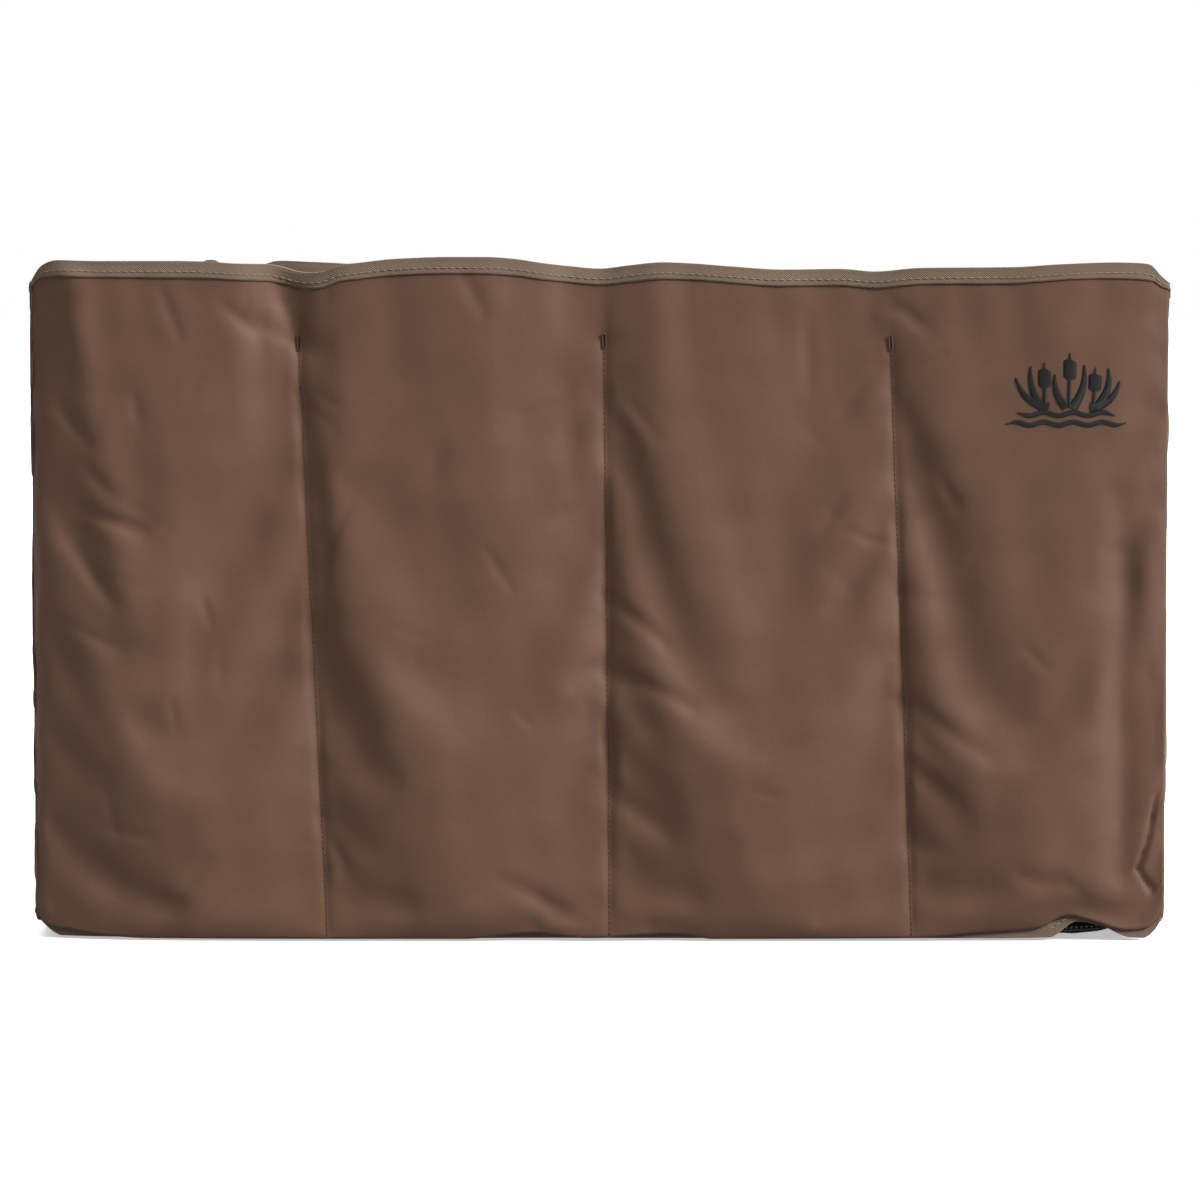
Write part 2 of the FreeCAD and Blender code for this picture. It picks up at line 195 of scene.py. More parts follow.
class Shader:
    """A material with a Principled surface, and short ways to add nodes in front of it."""

    def __init__(self, name, roughness, sheen=0.0, metallic=0.0, specular=0.35):
        self.material = bpy.data.materials.new(name)
        self.material.use_nodes = True
        self.nodes = self.material.node_tree.nodes
        self.links = self.material.node_tree.links
        self.surface = self.nodes["Principled BSDF"]
        set_sockets(self.surface, {
            "Roughness": roughness,
            "Sheen Weight": sheen,
            "Sheen Roughness": 0.45,
            "Metallic": metallic,
            "Specular IOR Level": specular,
        })

    def put(self, target, value):
        """Links an output to a socket, or sets the socket to a plain value."""
        if isinstance(value, bpy.types.NodeSocket):
            self.links.new(value, target)
        else:
            target.default_value = value

    def cloth_place(self):
        """Where a point is on the flat cloth, in metres."""
        node = self.nodes.new("ShaderNodeAttribute")
        node.attribute_name = "flat_place"
        return node.outputs["Vector"]

    def object_place(self):
        return self.nodes.new("ShaderNodeTexCoord").outputs["Object"]

    def maths(self, kind, first, second=0.0):
        node = self.nodes.new("ShaderNodeMath")
        node.operation = kind
        self.put(node.inputs[0], first)
        self.put(node.inputs[1], second)
        return node.outputs["Value"]

    def axis(self, place, number):
        node = self.nodes.new("ShaderNodeSeparateXYZ")
        self.links.new(place, node.inputs["Vector"])
        return node.outputs[number]

    def noise(self, place, size, detail=3.0, roughness=0.55, distortion=0.0):
        """Noise from 0 to 1 with features of about the given size."""
        node = self.nodes.new("ShaderNodeTexNoise")
        self.links.new(place, node.inputs["Vector"])
        set_sockets(node, {
            "Scale": 1 / size, "Detail": detail, "Roughness": roughness, "Distortion": distortion,
        })
        return node.outputs["Fac"]

    def wave(self, phase):
        """A sine from 0 to 1; one turn of the phase is one wave."""
        turned = self.maths("MULTIPLY", phase, 2 * math.pi)
        return self.maths("MULTIPLY_ADD", self.maths("SINE", turned), 0.5)

    def total(self, *parts):
        """The sum of some outputs, each given with its weight."""
        value = self.maths("MULTIPLY", *parts[0])
        for part in parts[1:]:
            value = self.maths("ADD", value, self.maths("MULTIPLY", *part))
        return value

    def mix(self, share, first, second):
        node = self.nodes.new("ShaderNodeMix")
        node.data_type = "RGBA"
        self.put(node.inputs["Factor"], share)
        for socket, value in ((node.inputs[6], first), (node.inputs[7], second)):
            self.put(socket, value if isinstance(value, bpy.types.NodeSocket) else (*value, 1))
        return node.outputs[2]

    def colour(self, value):
        self.put(self.surface.inputs["Base Color"], value)

    def bump(self, height, depth, strength=1.0, under=None):
        node = self.nodes.new("ShaderNodeBump")
        set_sockets(node, {"Strength": strength, "Distance": depth})
        self.links.new(height, node.inputs["Height"])
        if under is not None:
            self.links.new(under, node.inputs["Normal"])
        self.links.new(node.outputs["Normal"], self.surface.inputs["Normal"])
        return node.outputs["Normal"]


def srgb(red, green, blue):
    """A colour given as it looks on a screen, 0 to 255, as linear light."""
    shares = (red / 255, green / 255, blue / 255)
    return tuple(c / 12.92 if c <= 0.04045 else ((c + 0.055) / 1.055) ** 2.4 for c in shares)


def twill(shader, place, pitch):
    """Diagonal ribs of a twill weave, with the threads' own unevenness."""
    along = shader.maths("DIVIDE", shader.axis(place, 0), pitch)
    across = shader.maths("DIVIDE", shader.axis(place, 1), pitch * 1.15)
    uneven = shader.noise(place, 6 * MM, 2)
    phase = shader.maths("ADD", shader.maths("ADD", along, across), uneven)
    return shader.wave(phase)


def make_coated_cloth(name, light, dark, pitch, roughness, sheen):
    """Coated polyester twill: fine diagonal ribs, slubs along the thread and cloudy wear."""
    shader = Shader(name, roughness, sheen, specular=0.22)
    place = shader.cloth_place()
    ribs = twill(shader, place, pitch)
    grain = shader.noise(place, 0.9 * MM, 2, 0.7)
    clouds = shader.noise(place, 70 * MM, 4, 0.6, 0.4)
    share = shader.total((ribs, 0.20), (grain, 0.40), (clouds, 0.40))
    shader.colour(shader.mix(share, dark, light))
    creases = shader.noise(place, 9 * MM, 3, 0.5, 0.6)
    soft = shader.bump(creases, 0.35 * MM, 0.5)
    shader.bump(shader.maths("ADD", ribs, grain), 0.10 * MM, 0.6, soft)
    return shader.material


def make_tape_material():
    """Herringbone tape: ribs that slant one way in one stripe and the other way in the next."""
    shader = Shader("binding_tape", 0.8, 0.3, specular=0.2)
    place = shader.cloth_place()
    along = shader.maths("DIVIDE", shader.axis(place, 0), 1.5 * MM)
    stripe = shader.maths("PINGPONG", shader.axis(place, 1), 2.4 * MM)
    slant = shader.maths("DIVIDE", stripe, 1.3 * MM)
    ribs = shader.wave(shader.maths("ADD", along, slant))
    fuzz = shader.noise(place, 1.0 * MM, 3, 0.75)
    clouds = shader.noise(place, 40 * MM, 3)
    share = shader.total((ribs, 0.45), (fuzz, 0.35), (clouds, 0.2))
    shader.colour(shader.mix(share, srgb(98, 82, 68), srgb(164, 141, 121)))
    shader.bump(shader.maths("ADD", ribs, fuzz), 0.3 * MM, 0.8)
    return shader.material


def make_webbing_material():
    """Woven webbing: ribs along the run, crossed by the weft."""
    shader = Shader("black_webbing", 0.62, 0.15, specular=0.3)
    place = shader.cloth_place()
    along = shader.wave(shader.maths("DIVIDE", shader.axis(place, 0), 1.6 * MM))
    step = shader.maths("MULTIPLY", shader.axis(place, 1), 0.5 / (1.25 * MM))
    across = shader.wave(shader.maths("MULTIPLY", step, 2.0))
    weave = shader.maths("MULTIPLY", along, across)
    fuzz = shader.noise(place, 0.8 * MM, 2, 0.7)
    share = shader.total((weave, 0.6), (fuzz, 0.4))
    shader.colour(shader.mix(share, srgb(13, 12, 12), srgb(44, 42, 41)))
    shader.bump(shader.maths("ADD", weave, fuzz), 0.35 * MM, 0.8)
    return shader.material


def make_thread_material(name, light, dark, roughness):
    """Twisted thread: fine fibres and a little unevenness along it."""
    shader = Shader(name, roughness, 0.03, specular=0.3)
    place = shader.object_place()
    fibres = shader.noise(place, 0.35 * MM, 2, 0.6)
    clouds = shader.noise(place, 8 * MM, 2)
    share = shader.total((fibres, 0.6), (clouds, 0.4))
    shader.colour(shader.mix(share, dark, light))
    shader.bump(fibres, 0.08 * MM, 0.6)
    return shader.material


def make_ring_material():
    """Black plated wire, worn where it rubs."""
    shader = Shader("ring_metal", 0.32, metallic=1.0, specular=0.5)
    place = shader.object_place()
    wear = shader.noise(place, 5 * MM, 4, 0.7)
    shader.colour(shader.mix(wear, srgb(38, 37, 38), srgb(92, 90, 88)))
    scratches = shader.noise(place, 0.7 * MM, 3, 0.8)
    shader.bump(scratches, 0.05 * MM, 0.5)
    return shader.material


def make_net_material():
    """Coated polyester yarn of the open bottom mesh."""
    shader = Shader("black_mesh", 0.5, 0.05)
    place = shader.object_place()
    grain = shader.noise(place, 0.7 * MM, 3, 0.7)
    shader.colour(shader.mix(grain, srgb(10, 9, 9), srgb(34, 32, 31)))
    shader.bump(grain, 0.12 * MM, 0.6)
    return shader.material


def make_materials():
    """Every finish by name."""
    cloth = make_coated_cloth
    return {
        "outside": cloth("brown_cloth", srgb(126, 93, 76), srgb(88, 64, 50), 1.5 * MM, 0.55, 0.03),
        "inside": cloth("cloth_coating", srgb(104, 92, 76), srgb(80, 69, 56), 1.1 * MM, 0.6, 0.05),
        "divider": cloth("divider_cloth", srgb(122, 96, 80), srgb(92, 71, 58), 1.2 * MM, 0.6, 0.08),
        "tape": make_tape_material(),
        "webbing": make_webbing_material(),
        "wrap": cloth("wrap_cloth", srgb(50, 47, 45), srgb(22, 20, 19), 1.1 * MM, 0.7, 0.2),
        "ring": make_ring_material(),
        "net": make_net_material(),
        "tape_thread": make_thread_material("tape_thread", srgb(172, 153, 136), srgb(128, 112, 97), 0.6),
        "brown_thread": make_thread_material("brown_thread", srgb(106, 76, 61), srgb(66, 46, 37), 0.6),
        "black_thread": make_thread_material("black_thread", srgb(22, 21, 21), srgb(5, 5, 5), 0.5),
    }


MATERIALS = make_materials()


# ---------------------------------------------------------------- mesh building blocks


def add_piece(name, points, faces, finish, body="root", flat_places=None, lining=None, lined=None):
    """A mesh object that rides on a body and has a finish; the lined faces have the lining's."""
    mesh = bpy.data.meshes.new(name)
    mesh.from_pydata(points.tolist(), [], faces.tolist() if hasattr(faces, "tolist") else faces)
    mesh.materials.append(MATERIALS[finish])
    if lining:
        mesh.materials.append(MATERIALS[lining])
        mesh.polygons.foreach_set("material_index", lined)
    if flat_places is not None:
        attribute = mesh.attributes.new("flat_place", "FLOAT_VECTOR", "POINT")
        attribute.data.foreach_set("vector", flat_places.astype(np.float32).ravel())
    mesh.shade_smooth()
    mesh.update()
    piece = bpy.data.objects.new(name, mesh)
    bpy.context.scene.collection.objects.link(piece)
    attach(piece, body)
    return piece


def grid_faces(columns, rows, start=0, closed=False, flip=False):
    """Quads over a grid whose points are numbered column by column."""
    i, j = np.meshgrid(np.arange(columns if closed else columns - 1), np.arange(rows - 1), indexing="ij")
    i, j = i.ravel(), j.ravel()
    following = (i + 1) % columns
    quads = np.stack([i * rows + j, following * rows + j, following * rows + j + 1, i * rows + j + 1], 1)
    return (quads[:, ::-1] if flip else quads) + start


def tube_faces(rings, around, start=0, flip=False):
    """Faces of a tube whose points are numbered ring by ring, with both of its ends closed."""
    faces = grid_faces(rings, around, start).tolist()
    for ring in range(rings - 1):
        a, b = start + ring * around, start + (ring + 1) * around
        faces.append([a + around - 1, b + around - 1, b, a])
    end = start + (rings - 1) * around
    faces.append(list(range(start, start + around)))
    faces.append(list(range(end + around - 1, end - 1, -1)))
    return [face[::-1] for face in faces] if flip else faces


def unit(vectors):
    return vectors / np.maximum(np.linalg.norm(vectors, axis=-1, keepdims=True), 1e-12)


def grid_normals(grid, closed=False):
    """Unit normals of a grid, along its columns' direction crossed with its rows'."""
    if closed:
        along = np.roll(grid, -1, 0) - np.roll(grid, 1, 0)
    else:
        along = np.gradient(grid, axis=0)
    return unit(np.cross(along, np.gradient(grid, axis=1)))


def add_slab(name, grid, flat, thickness, finish, body="root", closed=False, normals=None, lining=None):
    """A sheet with thickness: the grid is its outer face, and the inner face lies behind it."""
    columns, rows = grid.shape[:2]
    normals = grid_normals(grid, closed) if normals is None else normals
    depth = np.broadcast_to(np.asarray(thickness, float), grid.shape[:2])[..., None]
    count = columns * rows
    points = np.concatenate([grid.reshape(-1, 3), (grid - normals * depth).reshape(-1, 3)])
    number = np.arange(count).reshape(columns, rows)
    if closed:
        loops = [np.append(number[:, 0], number[0, 0]), np.append(number[:, -1], number[0, -1])[::-1]]
    else:
        loops = [np.concatenate([number[:, 0], number[-1, 1:], number[-2::-1, -1], number[0, -2::-1]])]
    edges = [np.stack([line[:-1] + count, line[1:] + count, line[1:], line[:-1]], 1) for line in loops]
    outer = grid_faces(columns, rows, 0, closed)
    inner = grid_faces(columns, rows, count, closed, flip=True)
    faces = np.concatenate([outer, inner, *edges])
    lined = np.zeros(len(faces), np.int32)
    lined[len(outer): len(outer) + len(inner)] = 1
    flat_places = np.concatenate([flat.reshape(-1, 3)] * 2)
    return add_piece(name, points, faces, finish, body, flat_places, lining, lined)


def add_stitches(name, stitches, radius, finish, body="root", rise=0.6):
    """Many short stitches as one piece. Each is (start, end, normal) and arches over the cloth."""
    starts, ends, normals = (np.array(part) for part in zip(*stitches))
    shape = np.array([(0.0, 0.35, 0.0), (0.2, 1.0, 0.8), (0.8, 1.0, 0.8), (1.0, 0.35, 0.0)])
    sides = 5
    side = unit(np.cross(unit(ends - starts), normals))
    turn = np.linspace(0, 2 * math.pi, sides, endpoint=False)
    spokes = (
        side[:, None, None] * np.cos(turn)[None, None, :, None]
        + normals[:, None, None] * np.sin(turn)[None, None, :, None]
    )
    share, width, lift = shape.T
    line = starts[:, None] + (ends - starts)[:, None] * share[None, :, None]
    line = line + normals[:, None] * (lift * rise * radius)[None, :, None]
    points = line[:, :, None] + spokes * (width * radius)[None, :, None, None]
    pattern = tube_faces(len(shape), sides)
    faces = []
    for first in range(0, len(starts) * len(shape) * sides, len(shape) * sides):
        faces += [[first + number for number in face] for face in pattern]
    return add_piece(name, points.reshape(-1, 3), faces, finish, body)


def distances(path):
    """How far along a path each of its points is."""
    return np.concatenate([[0], np.cumsum(np.linalg.norm(np.diff(path, axis=0), axis=1))])


def flat_grid(along, across):
    """Places on the flat cloth, from distances along and across it."""
    return np.stack(np.broadcast_arrays(along, across, 0.0), -1)


def stitch_line(path, normals, stitch, closed=False):
    """Stitches along a path. A stitch is given by its pitch and its length."""
    pitch, length = stitch
    if closed:
        path = np.concatenate([path, path[:1]])
        normals = np.concatenate([normals, normals[:1]])
    travelled = distances(path)
    stitches = []
    for start in (np.arange(int(travelled[-1] / pitch)) + 0.2) * pitch:
        ends = [along_path(travelled, path, at) for at in (start, start + length)]
        stitches.append((*ends, unit(along_path(travelled, normals, start + length / 2))))
    return stitches


def along_path(travelled, values, at):
    """Values given along a path, at a distance along it."""
    return np.array([np.interp(at, travelled, column) for column in values.T])


# ---------------------------------------------------------------- numbers and curves


def smooth_line(places, values, at):
    """A smooth curve through a few given values that never swings past them."""
    places = np.asarray(places, float)
    values = np.asarray(values, float)
    rise = np.diff(values) / np.diff(places)
    together = rise[:-1] * rise[1:]
    inner = np.where(together > 0, 2 * together / np.where(together > 0, rise[:-1] + rise[1:], 1), 0)
    slope = np.concatenate([rise[:1], inner, rise[-1:]])
    index = np.clip(np.searchsorted(places, at) - 1, 0, len(places) - 2)
    step = places[index + 1] - places[index]
    t = np.clip((at - places[index]) / step, 0, 1)
    return (
        (1 + 2 * t) * (1 - t) ** 2 * values[index]
        + t * (1 - t) ** 2 * step * slope[index]
        + t**2 * (3 - 2 * t) * values[index + 1]
        + t**2 * (t - 1) * step * slope[index + 1]
    )


def hill(place, crown, rise=2.3, fall=2.3):
    """A hill from 0 up to 1 at its crown and back to 0, rounder where rise and fall are larger."""
    before = np.clip(1 - place / crown, 0, 1) ** rise
    after = np.clip((place - crown) / (1 - crown), 0, 1) ** fall
    return 1 - before - after


def ripple(across, up, size, seed, waves=7):
    """A smooth random surface of height about -1 to 1 with features of about the given size."""
    draw = np.random.default_rng(seed)
    turns = draw.uniform(0, math.pi, waves)
    stretches = draw.uniform(0.7, 1.6, waves)
    phases = draw.uniform(0, 2 * math.pi, waves)
    total = np.zeros(np.broadcast(across, up).shape)
    for turn, stretch, phase in zip(turns, stretches, phases):
        distance = across * math.cos(turn) + up * math.sin(turn)
        total = total + np.sin(distance * math.pi * stretch / size + phase)
    return total / math.sqrt(waves) / 1.4


def finer(grid, times):
    """The grid with extra points between its own in both directions, on smooth curves."""
    for axis in (0, 1):
        values = np.moveaxis(grid, axis, 0)
        before = 2 * values[:1] - values[1:2]
        after = 2 * values[-1:] - values[-2:-1]
        padded = np.concatenate([before, values, after])
        a, b, c, d = padded[:-3], padded[1:-2], padded[2:-1], padded[3:]
        filled = [
            0.5 * (2 * b + (c - a) * t + (2 * a - 5 * b + 4 * c - d) * t**2 + (3 * b - a - 3 * c + d) * t**3)
            for t in np.arange(times) / times
        ]
        woven = np.stack(filled, 1).reshape(-1, *values.shape[1:])
        grid = np.moveaxis(np.concatenate([woven, values[-1:]]), 0, axis)
    return grid


# ---------------------------------------------------------------- the walls' shape

# Along the front panel, left to right: share of its length, how far the rim dips in mm, and how far
# it leans out in mm.
FRONT_RIM = [
    (0.0, 16, 0), (0.005, 9, 0), (0.01, 6, 0), (0.016, 3.3, 0), (0.024, 2, 0), (0.06, 2.5, 0), (0.13, 2.5, 1),
    (0.16, 3, 1), (0.18, 4, 1), (0.21, 4.5, -4), (0.224, 6.5, -6), (0.237, 9, -6), (0.247, 9.8, -4),
    (0.26, 8.5, -2), (0.273, 5, 0), (0.293, 3.3, 1), (0.32, 1.2, 2), (0.37, 0, 4), (0.40, 0, 4),
    (0.425, 1.2, 2), (0.45, 3.8, 0), (0.475, 5.8, -4), (0.50, 7.2, -5), (0.525, 5.2, -2), (0.555, 3.3, 1),
    (0.58, 4, 0), (0.61, 5.6, 0), (0.66, 7.8, -2), (0.71, 7.4, -4), (0.74, 9, -4), (0.78, 6.8, -1),
    (0.86, 6.3, 2), (0.90, 4.6, 3), (0.95, 3.4, 1), (0.972, 3.8, 0), (0.984, 5.6, 0), (0.989, 9, 0),
    (0.994, 14, 0), (1.0, 19, 0),
]
END_RIM = [
    (0.0, 16, 0), (0.02, 16, 0), (0.1, 15, 0), (0.2, 12.5, 2), (0.34, 9, -4), (0.5, 7.5, 0),
    (0.66, 9, -4), (0.8, 12.5, 2), (0.9, 15, 0), (0.98, 16, 0), (1.0, 16, 0),
]
# The back panel runs the other way, from the right end to the left one.
BACK_RIM = [
    (0.0, 16, 0), (0.03, 15, 0), (0.12, 14.5, 2), (0.25, 14, -4), (0.38, 12, 2), (0.5, 13.5, -4),
    (0.62, 12, 2), (0.70, 10, 0), (0.735, 6.5, -2), (0.77, 4.6, -3), (0.80, 3.6, -3), (0.83, 2.8, -1),
    (0.85, 6, 0), (0.885, 5.5, 1), (0.90, 1.8, 1), (0.915, 6, 2), (0.96, 13, 0), (1.0, 16, 0),
]
# How high the cloth's lower edge hangs over the bound bottom seam, in mm, and how far the seam lifts.
FRONT_HEM = [
    (0.0, 17, 0), (0.012, 7.5, 0), (0.03, 6.0, 0), (0.055, 3.2, 0), (0.10, 1.5, 0), (0.38, 1.5, 0),
    (0.44, 5.0, 0), (0.49, 2.0, 0), (0.565, 4.5, 0), (0.60, 1.5, 0), (0.78, 2.0, 0), (0.83, 5.0, 0),
    (0.885, 8.0, 0.5), (0.912, 16.0, 10.5), (0.935, 12.5, 8.0), (0.965, 7.0, 0.5), (0.983, 8.0, 0),
    (1.0, 17, 0),
]
END_HEM = [
    (0.0, 17, 0), (0.03, 12, 9), (0.08, 8, 5), (0.16, 3, 0), (0.3, 3, 0), (0.5, 2, 0),
    (0.7, 3, 0), (0.84, 3, 0), (0.92, 8, 5), (0.97, 12, 9), (1.0, 17, 0),
]
PLAIN_HEM = [
    (0.0, 17, 0), (0.02, 7, 0), (0.1, 2, 0), (0.3, 4, 0), (0.45, 2, 0), (0.6, 3, 0), (0.8, 1.5, 0),
    (0.98, 7, 0), (1.0, 17, 0),
]

# How each slot's cloth bellies out: by how many mm, and where its crown is as a share of the slot's
# width, at the bottom and at the top.
FRONT_BELLIES = [(12, 0.58, 0.46), (14, 0.44, 0.34), (14, 0.46, 0.36), (12, 0.42, 0.34)]
BACK_BELLIES = [(12, 0.44, 0.55), (14, 0.40, 0.48), (13, 0.58, 0.50), (12, 0.52, 0.46)]
END_BELLIES = [(2.5, 0.5, 0.5), (2, 0.5, 0.5), (2.5, 0.5, 0.5)]

# How each upright corner is rounded off, in mm: how far it is set back from the long panel, how far it is
# set in from the end panel, and how far along the long panel that reaches.
FRONT_CORNERS = [(18, 0, 25), (2.5, 2, 10)]
BACK_CORNERS = [(8, 5, 18), (9, 5, 22)]

# Creases on the front panel: from and to as shares of its length and height, then width and depth
# in mm. A negative depth is a ridge.
FRONT_FOLDS = [
    ((0.117, 0.957), (0.133, 0.889), 5, 1.2), ((0.171, 0.938), (0.196, 0.908), 5, 1.2),
    ((0.219, 0.96), (0.236, 0.904), 6, 1.4), ((0.025, 0.791), (0.052, 0.733), 6, 2.2),
    ((0.054, 0.692), (0.072, 0.655), 6, 1.8), ((0.093, 0.801), (0.097, 0.764), 5, 1.0),
    ((0.045, 0.633), (0.098, 0.606), 6, 2.5), ((0.032, 0.593), (0.074, 0.499), 7, 2.8),
    ((0.239, 0.813), (0.254, 0.655), 8, 2.2), ((0.254, 0.655), (0.262, 0.299), 9, 2.4),
    ((0.262, 0.153), (0.275, 0.108), 5, 1.4), ((0.381, 0.975), (0.398, 0.921), 6, 1.2),
    ((0.461, 0.621), (0.481, 0.653), 5, 1.2), ((0.474, 0.816), (0.478, 0.67), 9, 1.2),
    ((0.415, 0.083), (0.481, 0.022), 7, 1.8), ((0.473, 0.379), (0.5, 0.421), 5, 1.4),
    ((0.504, 0.514), (0.557, 0.437), 6, 1.9), ((0.502, 0.404), (0.579, 0.347), 7, 2.2),
    ((0.507, 0.302), (0.511, 0.234), 5, 1.6), ((0.507, 0.221), (0.557, 0.153), 9, 2.4),
    ((0.511, 0.788), (0.531, 0.723), 7, 1.6), ((0.681, 0.929), (0.683, 0.825), 6, 1.0),
    ((0.712, 0.793), (0.745, 0.859), 6, 1.2), ((0.695, 0.622), (0.712, 0.655), 5, 1.2),
    ((0.701, 0.498), (0.735, 0.55), 6, 1.2), ((0.757, 0.948), (0.785, 0.911), 6, 1.5),
    ((0.799, 0.689), (0.813, 0.641), 5, 1.2), ((0.768, 0.356), (0.841, 0.265), 8, 2.2),
    ((0.771, 0.265), (0.813, 0.2), 7, 1.8), ((0.955, 0.65), (0.972, 0.4), 11, 2.5),
    ((0.956, 0.56), (0.96, 0.09), 12, 5.0), ((0.87, 0.086), (0.92, 0.043), 7, 1.8),
    ((0.222, 1.0), (0.234, 0.9), 14, 4.5), ((0.188, 0.918), (0.222, 0.9), 11, 2.6),
    ((0.992, 0.2), (0.984, 0.136), 2.2, 3.0), ((0.984, 0.136), (0.975, 0.092), 2.2, 3.2),
    ((0.975, 0.092), (0.99, 0.05), 2.2, 3.0), ((0.03, 0.64), (0.062, 0.56), 12, 3.4),
    ((0.128, 0.5), (0.122, 0.3), 16, -3.0), ((0.036, 1.0), (0.052, 0.8), 13, -4.2),
    ((0.056, 0.76), (0.1, 0.38), 16, -4.0),
]

# The grid before it is refined, how far a corner draws the end panel in, how deep the seams pull the
# cloth in, and how far the rim stands above the frame's.
ROWS = 70
COLUMN_STEP = 6 * MM
CORNER_REACH = 14 * MM
SEAM_PULL = 1.6 * MM
RIM_RISE = 8.3 * MM


class Wall:
    """One side of the bag: a grid of points, its normals, and where each point is on the flat cloth.

    A seam is its share of the length at the top and at the bottom. The tables above say what the rest is.
    """

    def __init__(self, name, node, start, along, length, seams, rim, hem, bellies, corners):
        self.name = name
        self.node = node
        self.start = np.array([*start, 0.0])
        self.along = np.array([*along, 0.0])
        self.outward = np.cross(self.along, UP)
        self.length = length
        self.seams = seams
        self.rim = rim
        self.hem = hem
        self.bellies = bellies
        self.corners = corners
        self.columns = round(length / COLUMN_STEP / (len(seams) + 1)) * (len(seams) + 1)

    def seam_share(self, seam, up):
        """Where a seam crosses a height, as a share of the wall's length."""
        top, bottom = seam
        return bottom + (top - bottom) * up * RIM / SEAM_TOP

    def shares(self, columns, rows):
        """For each point of a grid, its share of the length and of the height."""
        up = np.linspace(0, 1, rows + 1)
        even = np.linspace(0, 1, columns + 1)
        posts = np.linspace(0, 1, len(self.seams) + 2)
        across = np.empty((columns + 1, rows + 1))
        for row, height in enumerate(up):
            stops = [0.0, *(self.seam_share(seam, height) for seam in self.seams), 1.0]
            across[:, row] = np.interp(even, posts, stops)
        return across, np.broadcast_to(up, across.shape)

    def belly(self, up):
        """How far the cloth stands out between its seams."""
        cell = np.linspace(0, len(self.bellies), self.columns + 1)
        slot = np.minimum(cell.astype(int), len(self.bellies) - 1)
        depth, low_crown, high_crown = (np.array(column)[slot][:, None] for column in zip(*self.bellies))
        crown = low_crown + (high_crown - low_crown) * up
        return depth * MM * hill((cell - slot)[:, None], crown, 2.1, 1.25) * hill(up, 0.33, 2.3, 1.1)

    def rest_grid(self):
        """The wall before it sags: round at its corners and bellied between its seams."""
        across, up = self.shares(self.columns, ROWS)
        places, dips, leans = zip(*self.rim)
        rim = RIM + RIM_RISE - TAPE - smooth_line(places, dips, across) * MM
        lean = smooth_line(places, leans, across) * MM
        places, heights, _ = zip(*self.hem)
        hem = smooth_line(places, heights, across) * MM
        height = hem + (rim - hem) * up
        travelled = across * self.length
        out = lean * up**3 + self.belly(up)
        shift = np.zeros(across.shape)
        for corner, distance, forward in zip(self.corners, (travelled, self.length - travelled), (1, -1)):
            set_back, set_in, reach = (value * MM for value in corner)
            out = out - set_back * np.exp(-distance / (reach * (1.9 - 0.9 * up)))
            shift = shift + forward * set_in * np.exp(-distance / CORNER_REACH)
        for seam in self.seams:
            distance = travelled - self.seam_share(seam, up) * self.length
            out = out - SEAM_PULL * np.exp(-np.abs(distance) / (9 * MM)) * hill(up, 0.4)
        return (
            self.start
            + self.along * (travelled + shift)[..., None]
            + UP * height[..., None]
            + self.outward * out[..., None]
        )

    def pins(self):
        """Which points of the sagging grid are sewn to something stiff."""
        pinned = np.zeros((self.columns + 1, ROWS + 1), bool)
        pinned[[0, -1]] = True
        pinned[:, 0] = True
        pinned[:, -2:] = True
        sewn_rows = np.linspace(0, 1, ROWS + 1) * RIM < SEAM_TOP
        for post in np.linspace(0, self.columns, len(self.seams) + 2)[1:-1]:
            pinned[round(post), sewn_rows] = True
        return pinned

    def set_grid(self, grid, times):
        """Takes the sagged grid, refines it, and works out normals and flat places."""
        self.grid = finer(grid, times)
        self.last_column, self.last_row = self.grid.shape[0] - 1, self.grid.shape[1] - 1
        self.across, self.up = self.shares(self.last_column, self.last_row)
        columns = np.linspace(0, self.length, self.last_column + 1)
        self.flat = flat_grid(columns[:, None], np.linspace(0, RIM, self.last_row + 1))
        self.normals = grid_normals(self.grid)

    def push(self, height):
        """Moves every point out along its normal."""
        self.grid = self.grid + self.normals * height[..., None]
        self.normals = grid_normals(self.grid)

    def seam_column(self, number):
        return self.last_column * (number + 1) // (len(self.seams) + 1)

    def row_at(self, column, height):
        """Where a column of the grid reaches a height, in rows."""
        return np.interp(height, self.grid[column, :, 2], np.arange(self.last_row + 1))

    def at(self, column, row):
        """The point and normal at a place between the grid's own points."""
        i = int(np.clip(column, 0, self.last_column - 1))
        j = int(np.clip(row, 0, self.last_row - 1))
        s, t = column - i, row - j
        found = []
        for values in (self.grid, self.normals):
            lower = values[i, j] * (1 - s) + values[i + 1, j] * s
            upper = values[i, j + 1] * (1 - s) + values[i + 1, j + 1] * s
            found.append(lower * (1 - t) + upper * t)
        return found[0], unit(found[1])

    def over(self, distance, height):
        """The point and normal over a place given by distance along the wall and height."""
        row = height / RIM * self.last_row
        for _ in range(2):
            line = self.grid[:, int(np.clip(round(row), 0, self.last_row))]
            column = np.interp(distance, (line - self.start) @ self.along, np.arange(self.last_column + 1))
            row = self.row_at(int(np.clip(round(column), 0, self.last_column)), height)
        return self.at(column, row)


